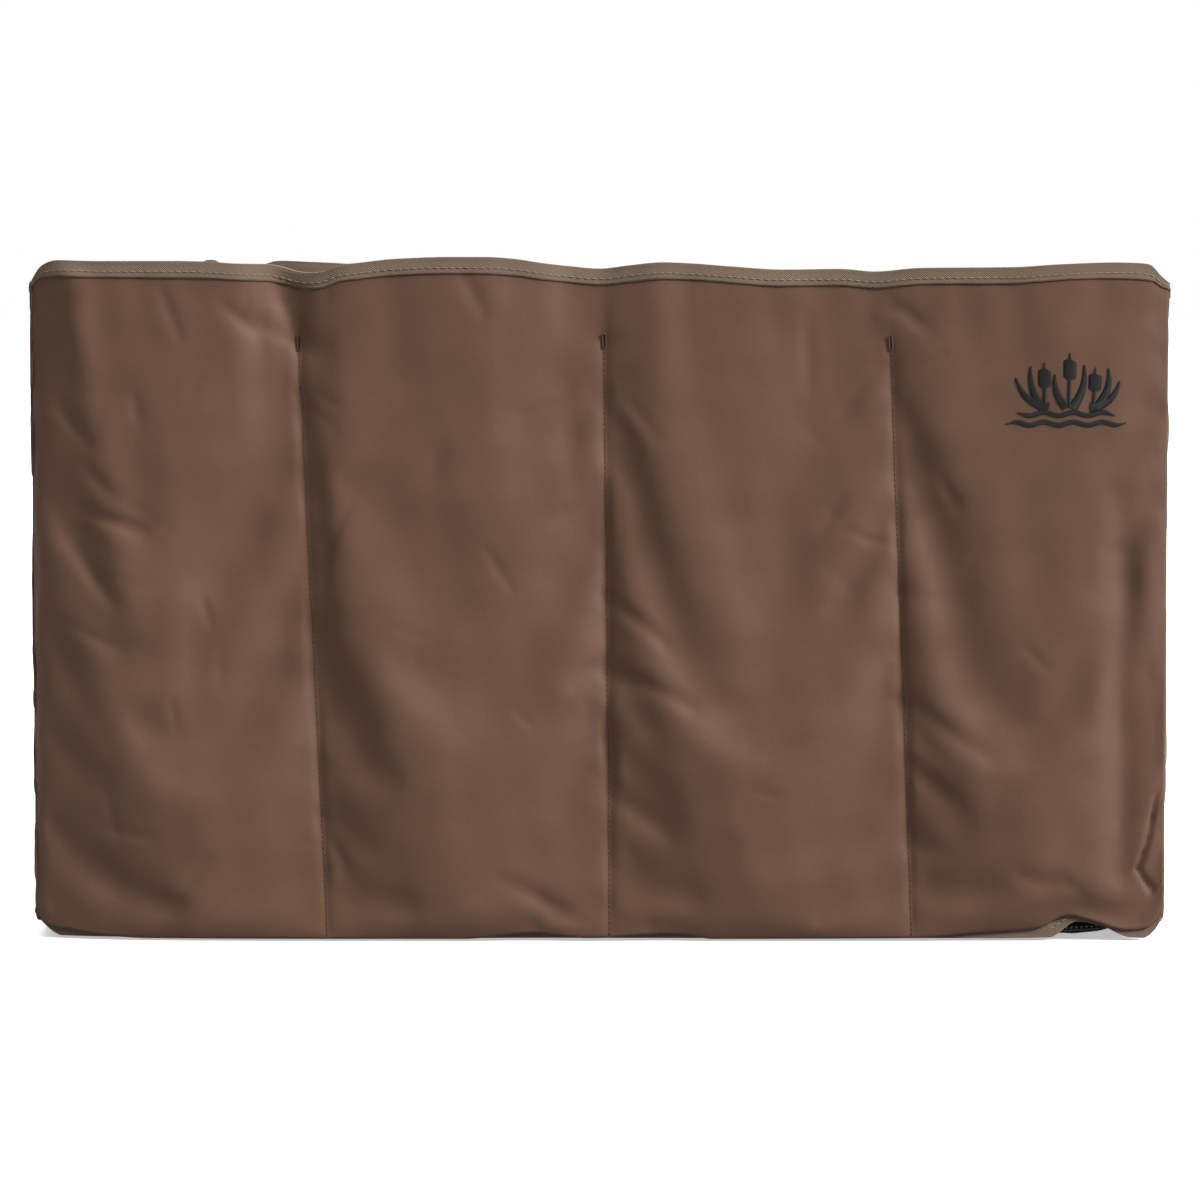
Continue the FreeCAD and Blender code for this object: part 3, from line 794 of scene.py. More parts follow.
def make_walls():
    depth = FACE_Y * 2
    length = FACE_X * 2
    front_seams = [(0.2354, 0.2601), (0.5035, 0.5088), (0.7540, 0.7751)]
    back_seams = [(0.262, 0.240), (0.497, 0.505), (0.741, 0.758)]
    row = ROW_Y / depth
    end_seams = [(0.5 - row, 0.5 - row), (0.5 + row, 0.5 + row)]
    end_corners = [
        [(set_in, set_back, CORNER_REACH / MM) for set_back, set_in, _ in pair]
        for pair in ((FRONT_CORNERS[1], BACK_CORNERS[0]), (BACK_CORNERS[1], FRONT_CORNERS[0]))
    ]
    return [
        Wall("front", "front_panel", (-FACE_X, -FACE_Y), (1, 0), length, front_seams, FRONT_RIM, FRONT_HEM,
             FRONT_BELLIES, FRONT_CORNERS),
        Wall("right", "right_end_panel", (FACE_X, -FACE_Y), (0, 1), depth, end_seams, END_RIM, END_HEM,
             END_BELLIES, end_corners[0]),
        Wall("back", "back_panel", (FACE_X, FACE_Y), (-1, 0), length, back_seams, BACK_RIM, PLAIN_HEM,
             BACK_BELLIES, BACK_CORNERS),
        Wall("left", "left_end_panel", (-FACE_X, FACE_Y), (0, -1), depth, end_seams, END_RIM, END_HEM,
             END_BELLIES, end_corners[1]),
    ]


def stiffen_end(wall, grid, pinned):
    """Webbing, its handle and the ring tab keep the middle of an end panel flat."""
    inset = 1.0 * MM
    travelled = (grid - wall.start) @ wall.along
    beside = np.abs(travelled - wall.length / 2)
    riser_reach = middle("left_riser_front")[2] * 2 + 8 * MM
    webbed = (beside < WEB_Y + WEB_WIDTH / 2 + 2 * MM) & (grid[..., 2] < riser_reach)
    tabbed = (beside < 24 * MM) & (grid[..., 2] > low("left_ring")[2] - 10 * MM)
    out = (grid - wall.start) @ wall.outward
    flat = webbed | tabbed
    grid = grid - wall.outward * np.where(flat, out + inset, 0.0)[..., None]
    return grid, pinned | flat


def sag(points, faces, pinned, frames=26):
    """Lets slack cloth settle under its own weight and returns where its points come to rest."""
    mesh = bpy.data.meshes.new("sagging")
    mesh.from_pydata(points.tolist(), [], faces.tolist())
    cloth_object = bpy.data.objects.new("sagging", mesh)
    bpy.context.scene.collection.objects.link(cloth_object)
    group = cloth_object.vertex_groups.new(name="pins")
    group.add(np.flatnonzero(pinned).tolist(), 1.0, "REPLACE")
    modifier = cloth_object.modifiers.new("cloth", "CLOTH")
    settings = modifier.settings
    settings.quality = 5
    settings.mass = 0.35
    settings.tension_stiffness = settings.compression_stiffness = 25
    settings.shear_stiffness = settings.bending_stiffness = 12
    settings.tension_damping = settings.compression_damping = settings.shear_damping = 15
    settings.air_damping = 3
    settings.vertex_group_mass = "pins"
    settings.shrink_min = -0.002
    settings.use_pressure = True
    settings.uniform_pressure_force = 0.5
    settings.effector_weights.gravity = 0.3
    modifier.collision_settings.use_collision = False
    scene = bpy.context.scene
    scene.frame_start = 1
    scene.frame_end = frames
    modifier.point_cache.frame_start = 1
    modifier.point_cache.frame_end = frames
    for frame_number in range(1, frames + 1):
        scene.frame_set(frame_number)
    settled = cloth_object.evaluated_get(bpy.context.evaluated_depsgraph_get()).to_mesh()
    rest = np.empty(len(points) * 3, np.float32)
    settled.vertices.foreach_get("co", rest)
    cloth_object.to_mesh_clear()
    bpy.data.objects.remove(cloth_object)
    scene.frame_set(1)
    return rest.reshape(-1, 3).astype(float)


def shape_walls(walls):
    """Sags the four walls as one ring of cloth, then refines each and adds its creases."""
    grids, pins = [], []
    for wall in walls:
        grid, pinned = wall.rest_grid(), wall.pins()
        if wall.name in ("left", "right"):
            grid, pinned = stiffen_end(wall, grid, pinned)
        grids.append(grid[:-1])
        pins.append(pinned[:-1])
    ring = np.concatenate(grids)
    faces = grid_faces(len(ring), ROWS + 1, closed=True)
    start = ring.reshape(-1, 3)
    settled = sag(start, faces, np.concatenate(pins).ravel())
    limit = 9 * MM
    moved = settled - start
    moved *= np.minimum(1, limit / np.maximum(np.linalg.norm(moved, axis=1), 1e-9))[:, None]
    ring = (start + moved).reshape(ring.shape)
    first = 0
    for wall in walls:
        last = first + wall.columns
        wall.set_grid(ring[np.arange(first, last + 1) % len(ring)], 3 if wall.name == "front" else 2)
        first = last
        wall.push(crease_height(wall))


def line_distance(wall, start, end):
    """Distance in metres from each point to a line on the flat wall, and the share along the line."""
    size = np.array([wall.length, RIM])
    start, end = np.array(start) * size, np.array(end) * size
    place = np.stack([wall.across * wall.length, wall.up * RIM], -1)
    span = end - start
    share = ((place - start) @ span) / (span @ span)
    nearest = start + np.clip(share, 0, 1)[..., None] * span
    return np.linalg.norm(place - nearest, axis=-1), share


def add_crease(height, wall, start, end, width, depth):
    """Lowers the height along a line, most at the line's middle."""
    distance, share = line_distance(wall, start, end)
    taper = np.clip(1.0 - np.abs(np.clip(share, 0, 1) - 0.5) * 1.6, 0, 1)
    near = distance < width * 3
    height[near] -= (depth * np.exp(-((distance / (0.85 * width)) ** 2)) * (0.35 + 0.65 * taper))[near]


def crease_height(wall):
    """Seam grooves and puckers, placed folds, and small random creases, as height over the cloth."""
    height = np.zeros(wall.across.shape)
    travelled = wall.across * wall.length
    fade = np.clip(np.minimum(travelled, wall.length - travelled) / (7 * MM), 0, 1)
    sewn = np.clip((SEAM_TOP - wall.up * RIM) / (6 * MM), 0, 1)
    for number, seam in enumerate(wall.seams):
        distance = travelled - wall.seam_share(seam, wall.up) * wall.length
        height -= 0.8 * MM * np.exp(-((distance / (2.0 * MM)) ** 2)) * sewn
        pucker = ripple(distance * 0.5, wall.up * RIM, 16 * MM, 40 + number)
        height += 0.9 * MM * (pucker * np.exp(-np.abs(distance) / (14 * MM))) * sewn
    if wall.name == "front":
        for start, end, width, depth in FRONT_FOLDS:
            add_crease(height, wall, start, end, width * MM, depth * MM)
    small_creases = 44
    for _ in range(small_creases):
        start = random.uniform((0.04, 0.04), (0.96, 0.9))
        turn = random.uniform(0, math.pi)
        reach = random.uniform(14, 42) * MM
        end = start + reach * np.array([math.cos(turn) / wall.length, math.sin(turn) / RIM])
        add_crease(height, wall, start, end, random.uniform(3, 7) * MM, random.uniform(0.3, 0.9) * MM)
    waves = ripple(travelled, wall.up * RIM, 60 * MM, 3)
    height += 1.2 * MM * waves * np.sin(math.pi * np.clip(wall.up, 0, 1))
    height += 0.35 * MM * ripple(travelled, wall.up * RIM, 22 * MM, 4)
    if wall.name in ("left", "right"):
        height *= np.clip((np.abs(travelled - wall.length / 2) - 80 * MM) / (20 * MM), 0, 1)
    below_rim = np.clip((1 - wall.up) * RIM / (8 * MM), 0, 1)
    above_hem = np.clip(wall.up * RIM / (18 * MM), 0, 1)
    return height * fade * below_rim * above_hem


def make_cloth(walls):
    """The four panels, brown outside and coated inside."""
    pieces = {}
    for wall in walls:
        piece = add_slab(
            f"{wall.name}_cloth", wall.grid, wall.flat, CLOTH, "outside",
            normals=wall.normals, lining="inside",
        )
        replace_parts(piece, wall.node)
        pieces[wall.name] = piece
    return pieces


# ---------------------------------------------------------------- tape and thread


def around_bag(walls, rows_down):
    """Points and normals right round the bag, at distances below the rim given in metres."""
    points, normals, travelled = [], [], []
    start = 0.0
    for wall in walls:
        for column in range(wall.last_column):
            share = column / wall.last_column
            from_corner = min(share, 1 - share) * wall.length
            narrow = 0.4 + 0.6 * min(1.0, from_corner / CORNER_REACH)
            strip = [wall.at(column, wall.last_row * (1 - down * narrow / RIM)) for down in rows_down]
            points.append([point for point, _ in strip])
            normals.append([normal for _, normal in strip])
            travelled.append(start + wall.length * column / wall.last_column)
        start += wall.length
    reach = 4
    blurred = sum(np.roll(np.array(normals), shift, 0) for shift in range(-reach, reach + 1))
    return np.array(points), unit(blurred), np.array(travelled)


def fold_over(points, normals, travelled, inner_gap, tip):
    """The outer face of a tape folded over an edge: down the outside, over the tip, up the inside."""
    outer = points + normals * TAPE
    inner = points - normals * (inner_gap + TAPE)
    crown = (outer[:, :1] + inner[:, :1]) / 2 + tip * UP
    shoulders = [outer[:, :1] + UP * tip * 0.6, crown, inner[:, :1] + UP * tip * 0.6]
    strip = np.concatenate([outer[:, ::-1], *shoulders, inner], axis=1)
    steps = np.linalg.norm(np.diff(strip, axis=1), axis=2)
    across = np.concatenate([np.zeros((len(strip), 1)), np.cumsum(steps, axis=1)], axis=1)
    return strip, flat_grid(travelled[:, None], across)


def make_folded_tape(name, strip, flat, line, outward):
    """A binding tape right round the bag, with a row of lock stitches along a line."""
    piece = add_slab(f"{name}_tape", strip, flat, TAPE, "tape", closed=True)
    stitches = stitch_line(line + outward * TAPE * 1.05, outward, TAPE_STITCH, closed=True)
    return piece, add_stitches(f"{name}_stitches", stitches, TAPE_THREAD, "tape_thread")


def make_rim_tape(walls):
    """The bound rim, with a slightly wavy lower edge."""
    downs = np.array([0.0, 0.3, 0.62, 0.85, 1.0]) * TAPE_REACH
    points, normals, travelled = around_bag(walls, downs)
    wobble = ripple(travelled, 0, 30 * MM, 8) * 0.35 * MM + ripple(travelled, 0, 5 * MM, 9) * 0.12 * MM
    points[:, -1] -= UP * wobble[:, None]
    strip, flat = fold_over(points, normals, travelled, CLOTH, 0.5 * MM)
    stitches_down = 6.1 * MM
    line, outward, _ = around_bag(walls, [stitches_down])
    piece, thread = make_folded_tape("rim", strip, flat, line[:, 0], outward[:, 0])
    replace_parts(piece, *(f"top_binding_{side}" for side in SIDES))
    return [piece, thread]


def make_bottom_tape(walls):
    """The bound bottom seam, a little inside the cloth that hangs over it, and where the net is sewn in."""
    ring, hung, shifts, lifts, travelled, start = [], [], [], [], [], 0.0
    inset = 2.0 * MM
    shoulder = SEAM_TAPE_TOP - 1.2 * MM
    for wall in walls:
        places, _, lift = zip(*wall.hem)
        share = np.linspace(0, 1, wall.last_column + 1)[:-1]
        sway = ripple(share * wall.length, 0, 90 * MM, 21) * 1.0 * MM - 0.8 * MM
        corner = np.clip(np.minimum(share, 1 - share) * wall.length / (15 * MM), 0, 1)
        ring.append(wall.grid[:-1, 0] * np.array([1.0, 1.0, 0.0]))
        hung.append(wall.grid[:-1, np.abs(wall.grid[0, :, 2] - shoulder).argmin()])
        shifts.append(sway * corner - inset)
        lifts.append(smooth_line(places, lift, share) * MM + (1 - corner) ** 1.5 * 12 * MM + 1.4 * MM)
        travelled.append(start + share * wall.length)
        start += wall.length
    parts = (ring, hung, shifts, lifts, travelled)
    ring, hung, shifts, lifts, travelled = (np.concatenate(part) for part in parts)
    outward = np.cross(unit(np.roll(ring, -3, 0) - np.roll(ring, 3, 0)), UP)
    points = ring + outward * shifts[:, None]
    ups = np.array([0.0, 0.35, 0.7, 1.0])
    grounded = np.clip((3 * MM - lifts) / (1.5 * MM), 0, 1)
    lean = np.maximum(((hung - points) * outward).sum(1) - CLOTH - TAPE - 0.2 * MM, 0) * grounded
    base = points + UP * (lifts + TAPE)[:, None]
    grid = base[:, None] + UP * shoulder * ups[:, None] + outward[:, None] * (lean[:, None] * ups)[..., None]
    normals = np.broadcast_to(outward[:, None], grid.shape)
    strip, flat = fold_over(grid, normals, travelled, 2 * CLOTH, -0.6 * MM)
    stitches_up = 5.5 * MM
    line = grid[:, 0] + UP * stitches_up
    piece, thread = make_folded_tape("bottom", strip[:, ::-1], flat[:, ::-1], line, outward)
    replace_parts(piece, *(f"bottom_binding_{side}" for side in SIDES))
    return [piece, thread], base - outward * 2.2 * MM


def make_corner_tapes(walls):
    """Tape that binds the upright seam inside each corner."""
    for number, wall in enumerate(walls):
        following = walls[(number + 1) % len(walls)]
        node = "corner_tape_" + ("front_right", "back_right", "back_left", "front_left")[number]
        leg = (high(node) - low(node))[0]
        heights = np.linspace(low(node)[2], high(node)[2], 60)
        strips = []
        for side, share in ((wall, -1.0), (wall, -0.5), (following, 0.0), (following, 0.5), (following, 1.0)):
            column = abs(share) * leg / side.length * side.last_column
            if side is wall:
                column = side.last_column - column
            found = [side.at(column, row) for row in side.row_at(round(column), heights)]
            strips.append([point - normal * (CLOTH + 0.1 * MM) for point, normal in found])
        grid = np.array(strips)[::-1]
        flat = flat_grid(heights[None], np.arange(5)[:, None] * leg / 2)
        grid = grid + grid_normals(grid) * TAPE
        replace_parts(add_slab(f"{node}_strip", grid, flat, TAPE, "tape"), node)


def make_seam_threads(walls):
    """The stitch line of each divider below its bar tack, and the tack itself."""
    thread, tacks = [], []
    for wall in walls:
        for number in range(len(wall.seams)):
            column = wall.seam_column(number)
            rows = np.flatnonzero(wall.up[column] * RIM < SEAM_TOP)[::-1]
            path = wall.grid[column, rows] + wall.normals[column, rows] * 0.15 * MM
            thread += stitch_line(path, wall.normals[column, rows], SEAM_STITCH)
            tacks += bar_tack(wall, column, rows[0])
    seam = add_stitches("seam_stitches", thread, SEAM_THREAD, "brown_thread")
    tack = add_stitches("bar_tacks", tacks, TACK_THREAD, "brown_thread")
    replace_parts(tack, "divider_bar_tacks")
    return [seam, tack]


def bar_tack(wall, column, top_row):
    """Two close columns of dense stitches, joined at both ends."""
    half_width = 1.55 * MM
    length = 10 * MM
    step = 0.72 * MM
    top_height = wall.grid[column, top_row, 2]
    stitches = []
    count = int(length / step)
    for number in range(count + 1):
        point, normal = wall.at(column, wall.row_at(column, top_height - number * step))
        point = point + normal * 0.75 * MM
        slant = UP * step * 0.5
        for left, right in [(-1.0, 1.0)] if number in (0, count) else [(-1.0, -0.35), (0.35, 1.0)]:
            start = point + wall.along * half_width * left - slant
            end = point + wall.along * half_width * right + slant
            stitches.append((start, end, normal))
    return stitches


# ---------------------------------------------------------------- dividers and net


def seam_points(wall, number, heights):
    """Points just inside a wall's seam at the given heights."""
    column = wall.seam_column(number)
    inside = CLOTH + 0.3 * MM
    found = [wall.at(column, row) for row in wall.row_at(column, heights)]
    return np.array([point - normal * inside for point, normal in found])


def hang_sheet(first, last, cells, seed, sway, columns):
    """A sheet between two upright lines. It sways sideways between its seams, and its top edge dips."""
    share = np.linspace(0, 1, columns + 1)[:, None]
    grid = first[None] * (1 - share[..., None]) + last[None] * share[..., None]
    span = last.mean(0) - first.mean(0)
    aside = np.cross(unit(span), UP)
    cell = (share * cells) % 1.0
    free = (4 * cell * (1 - cell)) ** 0.8
    along = share * np.linalg.norm(span)
    up = np.linspace(0, 1, len(first))[None]
    height = first[None, :, 2]
    wander = ripple(along, height, 95 * MM, seed) + 0.45 * ripple(along, height, 38 * MM, seed + 1)
    grid = grid + aside * (wander * free * sway * (0.5 + 0.5 * up))[..., None]
    dip = free * up**6 * (4.5 + 2.5 * ripple(along, 0, 120 * MM, seed + 2)) * MM
    grid = grid - UP * dip[..., None]
    return grid, flat_grid(along, height)


def add_divider(name, grid, flat):
    """A divider with a turned hem along its top edge. Returns the hem's stitches."""
    hem = 11 * MM
    below = grid[:, -1:, 2] - grid[..., 2]
    thickness = np.where(below < hem, 1.5 * MM, 0.7 * MM)
    normals = grid_normals(grid)
    centred = grid + normals * (thickness / 2)[..., None]
    piece = add_slab(f"{name}_sheet", centred, flat, thickness, "divider", normals=normals)
    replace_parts(piece, name)
    row = round(np.interp(hem - 2 * MM, below[0, ::-1], np.arange(grid.shape[1])[::-1]))
    return stitch_line(centred[:, row] + normals[:, row] * 0.1 * MM, normals[:, row], HEM_STITCH)


def make_dividers(walls):
    """Two dividers along the bag, and three across each of its rows."""
    front, right, back, left = walls
    rows = 44
    long_heights = np.linspace(DIVIDER_FLOOR, LONG_TOP + RIM_RISE, rows + 1)
    cross_heights = np.linspace(DIVIDER_FLOOR, SEAM_TOP, rows + 1)
    cells = len(front.seams) + 1
    stitches, long_grids = [], []
    for seed, (name, left_seam, right_seam) in enumerate((("front", 1, 0), ("back", 0, 1))):
        first = seam_points(left, left_seam, long_heights)
        last = seam_points(right, right_seam, long_heights)
        grid, flat = hang_sheet(first, last, cells, 60 + 5 * seed, 6 * MM, 96)
        stitches += add_divider(f"lengthwise_divider_{name}", grid, flat)
        long_grids.append(grid)
    for number, column in enumerate(("left", "centre", "right")):
        posts = [seam_points(front, number, cross_heights)]
        for grid in long_grids:
            line = grid[round((number + 1) / cells * (grid.shape[0] - 1))]
            posts.append(np.array([along_path(long_heights, line, height) for height in cross_heights]))
        posts.append(seam_points(back, cells - 2 - number, cross_heights))
        for place, row in enumerate(("front", "middle", "back")):
            gap = unit(posts[place + 1] - posts[place]) * 1.0 * MM
            first, last = posts[place] + gap, posts[place + 1] - gap
            grid, flat = hang_sheet(first, last, 1, 90 + 7 * number + place, 5 * MM, 26)
            stitches += add_divider(f"cross_divider_{column}_{row}", grid, flat)
    add_stitches("divider_hem_stitches", stitches, HEM_THREAD, "brown_thread")


def net_height(x, y):
    """How high the net hangs: held at its edges and resting near the floor elsewhere."""
    edge = np.minimum(FACE_X - np.abs(x), FACE_Y - np.abs(y))
    held = np.exp(-np.maximum(edge - 3 * MM, 0) / (11 * MM))
    places, _, lifts = zip(*FRONT_HEM)
    lifted = smooth_line(places, lifts, (x + FACE_X) / (2 * FACE_X)) * MM
    inward = np.maximum(y + FACE_Y - 3 * MM, 0)
    corner = np.exp(-np.hypot(FACE_X - np.abs(x), FACE_Y - np.abs(y)) / (30 * MM))
    pulled = lifted * np.exp(-inward / (2.5 * MM)) + 12 * MM * corner
    dropped = 2.6 * MM * np.minimum(1, lifted / (5 * MM)) * np.exp(-inward / (30 * MM))
    hung = 4.6 * MM * held * (1 - lifted / (12 * MM))
    return 3.6 * MM + hung + pulled - dropped + 0.5 * MM * ripple(x, y, 120 * MM, 33)


def span_inside(outline, direction, offset):
    """Where a straight yarn at an offset from the middle enters and leaves an outline."""
    beside = outline[:, 1 - direction] - offset
    following = np.roll(beside, -1)
    crossing = np.flatnonzero(beside * following < 0)
    share = beside[crossing] / (beside[crossing] - following[crossing])
    start = outline[crossing, direction]
    end = np.roll(outline[:, direction], -1)[crossing]
    places = start + (end - start) * share
    return (places.min(), places.max()) if len(places) else None


def make_net(outline):
    """The mesh bottom: flat yarns one way laid over flat yarns the other way."""
    pitch = 3.2 * MM
    half_width = 0.85 * MM
    half_thickness = 0.28 * MM
    segments = 30
    even = np.linspace(-1, 1, segments + 1)
    stations = np.sign(even) * (1 - (1 - np.abs(even)) ** 2)
    points, faces = [], []
    for direction in (0, 1):
        edge = np.abs(outline[:, 1 - direction]).max() - 1.0 * MM
        for offset in np.arange(half_width - edge, edge - half_width / 2, pitch):
            span = span_inside(outline, direction, offset)
            if span is None:
                continue
            place = np.zeros((segments + 1, 3))
            place[:, direction] = (span[0] + span[1]) / 2 + stations * (span[1] - span[0]) / 2
            place[:, 1 - direction] = offset
            place[:, 2] = net_height(place[:, 0], place[:, 1]) + (0.3 * MM if direction else -0.3 * MM)
            side = np.zeros(3)
            side[1 - direction] = half_width
            lift = UP * half_thickness
            faces += tube_faces(segments + 1, 4, len(points) * 4 * (segments + 1), flip=bool(direction))
            corners = (-side - lift, side - lift, side + lift, lift - side)
            points.append(np.stack([place + corner for corner in corners], 1))
    piece = add_piece("net_bottom", np.concatenate(points).reshape(-1, 3), faces, "net")
    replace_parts(piece, "bottom_mesh")


# ---------------------------------------------------------------- webbing, handles and rings


def ribbon(path, side, width, across=8):
    """A strip along a path: the grid of its outer face, and where each point is on the flat strip."""
    share = np.linspace(-0.5, 0.5, across + 1)
    width = np.broadcast_to(np.asarray(width, float), len(path))
    side = np.broadcast_to(side, path.shape)
    grid = path[:, None] + side[:, None] * (width[:, None] * share[None])[..., None]
    return grid, flat_grid(distances(path)[:, None], share[None] * width[:, None])


def turned(points, side):
    """Points for the right end, or turned half round for the left one."""
    return points if side > 0 else points * np.array([-1.0, -1.0, 1.0])


def joint_place(name):
    """How far out from the middle of the bag a joint's axis is, and how high."""
    joint = next(joint for joint in frame["record"]["behaviour"]["joints"] if joint["name"] == name)
    return abs(joint["pos_m"][0]), joint["pos_m"][2]


def make_webbing(walls):
    """Webbing under the net, and the risers that carry it up the end panels."""
    stitches = []
    for end_name, end in (("front", -1), ("back", 1)):
        x = np.linspace(-FACE_X + 4 * MM, FACE_X - 4 * MM, 60)
        path = np.stack([x, np.full_like(x, end * WEB_Y), net_height(x, end * WEB_Y) - 1.2 * MM], 1)
        grid, flat = ribbon(path, np.array([0, 1.0, 0]), WEB_WIDTH)
        under = add_slab(f"bottom_strap_{end_name}", grid, flat, WEB, "webbing")
        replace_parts(under, f"bottom_webbing_{end_name}")
    for wall in (walls[1], walls[3]):
        for end_name, end in (("front", -1), ("back", 1)):
            along = end if wall.name == "right" else -end
            stitches += make_riser(wall, f"{wall.name}_riser_{end_name}", wall.length / 2 + along * WEB_Y)
    add_stitches("webbing_stitches", stitches, WEB_THREAD, "black_thread")


def make_riser(wall, node, distance):
    """Webbing up a wall, at a distance along it. Returns its stitches: two edges and a crossed box."""
    heights = np.linspace(4 * MM, high(node)[2] + 1.5 * MM, 50)
    steps = np.linspace(-0.5, 0.5, 9)
    grid = np.empty((len(steps), len(heights), 3))
    for i, share in enumerate(steps):
        for j, height in enumerate(heights):
            point, normal = wall.over(distance + share * WEB_WIDTH, height)
            grid[i, j] = point + normal * (WEB + 0.15 * MM)
    flat = flat_grid(heights[None], (steps * WEB_WIDTH)[:, None])
    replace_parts(add_slab(f"{node}_strap", grid, flat, WEB, "webbing"), node)
    normals = grid_normals(grid)
    stitches = []
    for column in (1, len(steps) - 2):
        stitches += stitch_line(grid[column], normals[column], WEB_STITCH)
    box_normal = normals[4, 30]
    top, bottom = len(heights) - 3, len(heights) - 10
    box = (((1, top), (7, top)), ((1, bottom), (7, bottom)), ((1, bottom), (7, top)), ((1, top), (7, bottom)))
    for start, end in box:
        share = np.linspace(0, 1, 9)[:, None]
        path = grid[start] * (1 - share) + grid[end] * share + box_normal * 0.1 * MM
        stitches += stitch_line(path, np.broadcast_to(box_normal, path.shape), BOX_STITCH)
    return stitches


def make_handle(side_name, side):
    """A free loop of webbing from fold to fold, folded in two where the padded wrap goes round it."""
    fold_x, fold_z = joint_place(f"{side_name}_handle_swing")
    grip_z = middle(f"{side_name}_handle_wrap")[2]
    face = 1.7 * MM
    roll = [math.radians(a) for a in range(200, 0, -20)]
    leg = [(fold_x + face * math.cos(a), WEB_Y, fold_z + face * math.sin(a)) for a in roll]
    bend = 27 * MM
    leg += [(fold_x + face, WEB_Y, z) for z in np.linspace(fold_z, grip_z + bend * 1.35, 10)]
    turn = np.radians(np.arange(8, 91, 9))
    corner_y = WEB_Y - bend
    leg += [
        (fold_x + face, corner_y + bend * math.cos(a), grip_z + bend * 1.3 * (1 - math.sin(a))) for a in turn
    ]
    leg += [(fold_x + face, y, grip_z) for y in np.linspace(corner_y - 6 * MM, 0, 6)]
    leg = np.array(leg)
    path = np.concatenate([leg, leg[-2::-1] * np.array([1, -1.0, 1])])
    heading = unit(np.gradient(path, axis=0))
    in_plane = heading * np.array([0, 1.0, 1.0])
    side_way = np.cross([1.0, 0, 0], in_plane)
    rolled = np.abs(np.abs(path[:, 1]) - WEB_Y) < 0.1 * MM
    side_way[rolled] = np.where(path[rolled, 1:2] > 0, [[0, 1.0, 0]], [[0, -1.0, 0]])
    down = np.clip((fold_z - 12 * MM - path[:, 2]) / (fold_z - 12 * MM - grip_z), 0, 1)
    width = WEB_WIDTH + (19 * MM - WEB_WIDTH) * down**0.8
    thickness = np.broadcast_to((1.6 * MM + 1.6 * MM * down)[:, None], (len(path), 9))
    grid, flat = ribbon(path, unit(side_way), width)
    grid = turned(grid, side)
    body = f"{side_name}_handle"
    strap = add_slab(f"{side_name}_handle_loop", grid, flat, thickness, "webbing", body)
    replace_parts(strap, f"{side_name}_handle_strap")
    normals = grid_normals(grid)
    stitches = []
    for column in (1, 7):
        stitches += stitch_line(grid[11:-11, column], normals[11:-11, column], WEB_STITCH)
    add_stitches(f"{side_name}_loop_stitches", stitches, WEB_THREAD, "black_thread", body)


def make_wrap(side_name, side):
    """The padded wrap: an oval sleeve, drawn in at its bound ends, with the edge of its flap along it."""
    node = f"{side_name}_handle_wrap"
    size = high(node) - low(node)
    centre = middle(node)
    centre[0] = abs(centre[0])
    stations = 41
    around = 36
    girth_step = 9 * MM
    along = np.linspace(-0.5, 0.5, stations)
    turn = np.linspace(0, 2 * math.pi, around, endpoint=False)
    plump = 1 - 0.10 * np.abs(2 * along) ** 3 - 0.14 * np.clip(np.abs(2 * along) - 0.9, 0, 1) * 10 * 0.5
    flap = np.where((turn > 0.5) & (turn < 2.6), 0.45 * MM, 0.0)
    power = 0.72
    oval_x = np.sign(np.cos(turn)) * np.abs(np.cos(turn)) ** power
    oval_z = np.sign(np.sin(turn)) * np.abs(np.sin(turn)) ** power
    crease = ripple(along[:, None] * size[1], turn[None] * girth_step, 11 * MM, 70) * 0.35 * MM
    bound = np.where(np.abs(along) * size[1] > size[1] / 2 - 5 * MM, 0.5 * MM, 0.0)[:, None]
    radius_x = (size[0] / 2 - 1.0 * MM) * plump[:, None] + crease + flap + bound
    radius_z = (size[2] / 2 - 1.0 * MM) * plump[:, None] + crease + flap + bound
    x, y, z = centre[0] + oval_x * radius_x, (along * size[1])[:, None], centre[2] + oval_z * radius_z
    points = turned(np.stack(np.broadcast_arrays(x, y, z), -1), side)
    flat = flat_grid(y, turn[None] * girth_step).reshape(-1, 3)
    faces = tube_faces(stations, around, flip=True)
    faces[-2:] = [face[::-1] for face in faces[-2:]]
    body = f"{side_name}_handle"
    wrap = add_piece(f"{side_name}_grip_wrap", points.reshape(-1, 3), faces, "wrap", body, flat)
    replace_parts(wrap, node)
    outward = np.array([side, 0.0, 0.0])
    stitches = []
    for k in (3, 15):
        line = points[3:-3, k]
        stitches += stitch_line(line, unit(line - line.mean(0) + outward * 4), WRAP_STITCH)
    add_stitches(f"{side_name}_wrap_stitches", stitches, WRAP_THREAD, "black_thread", body)


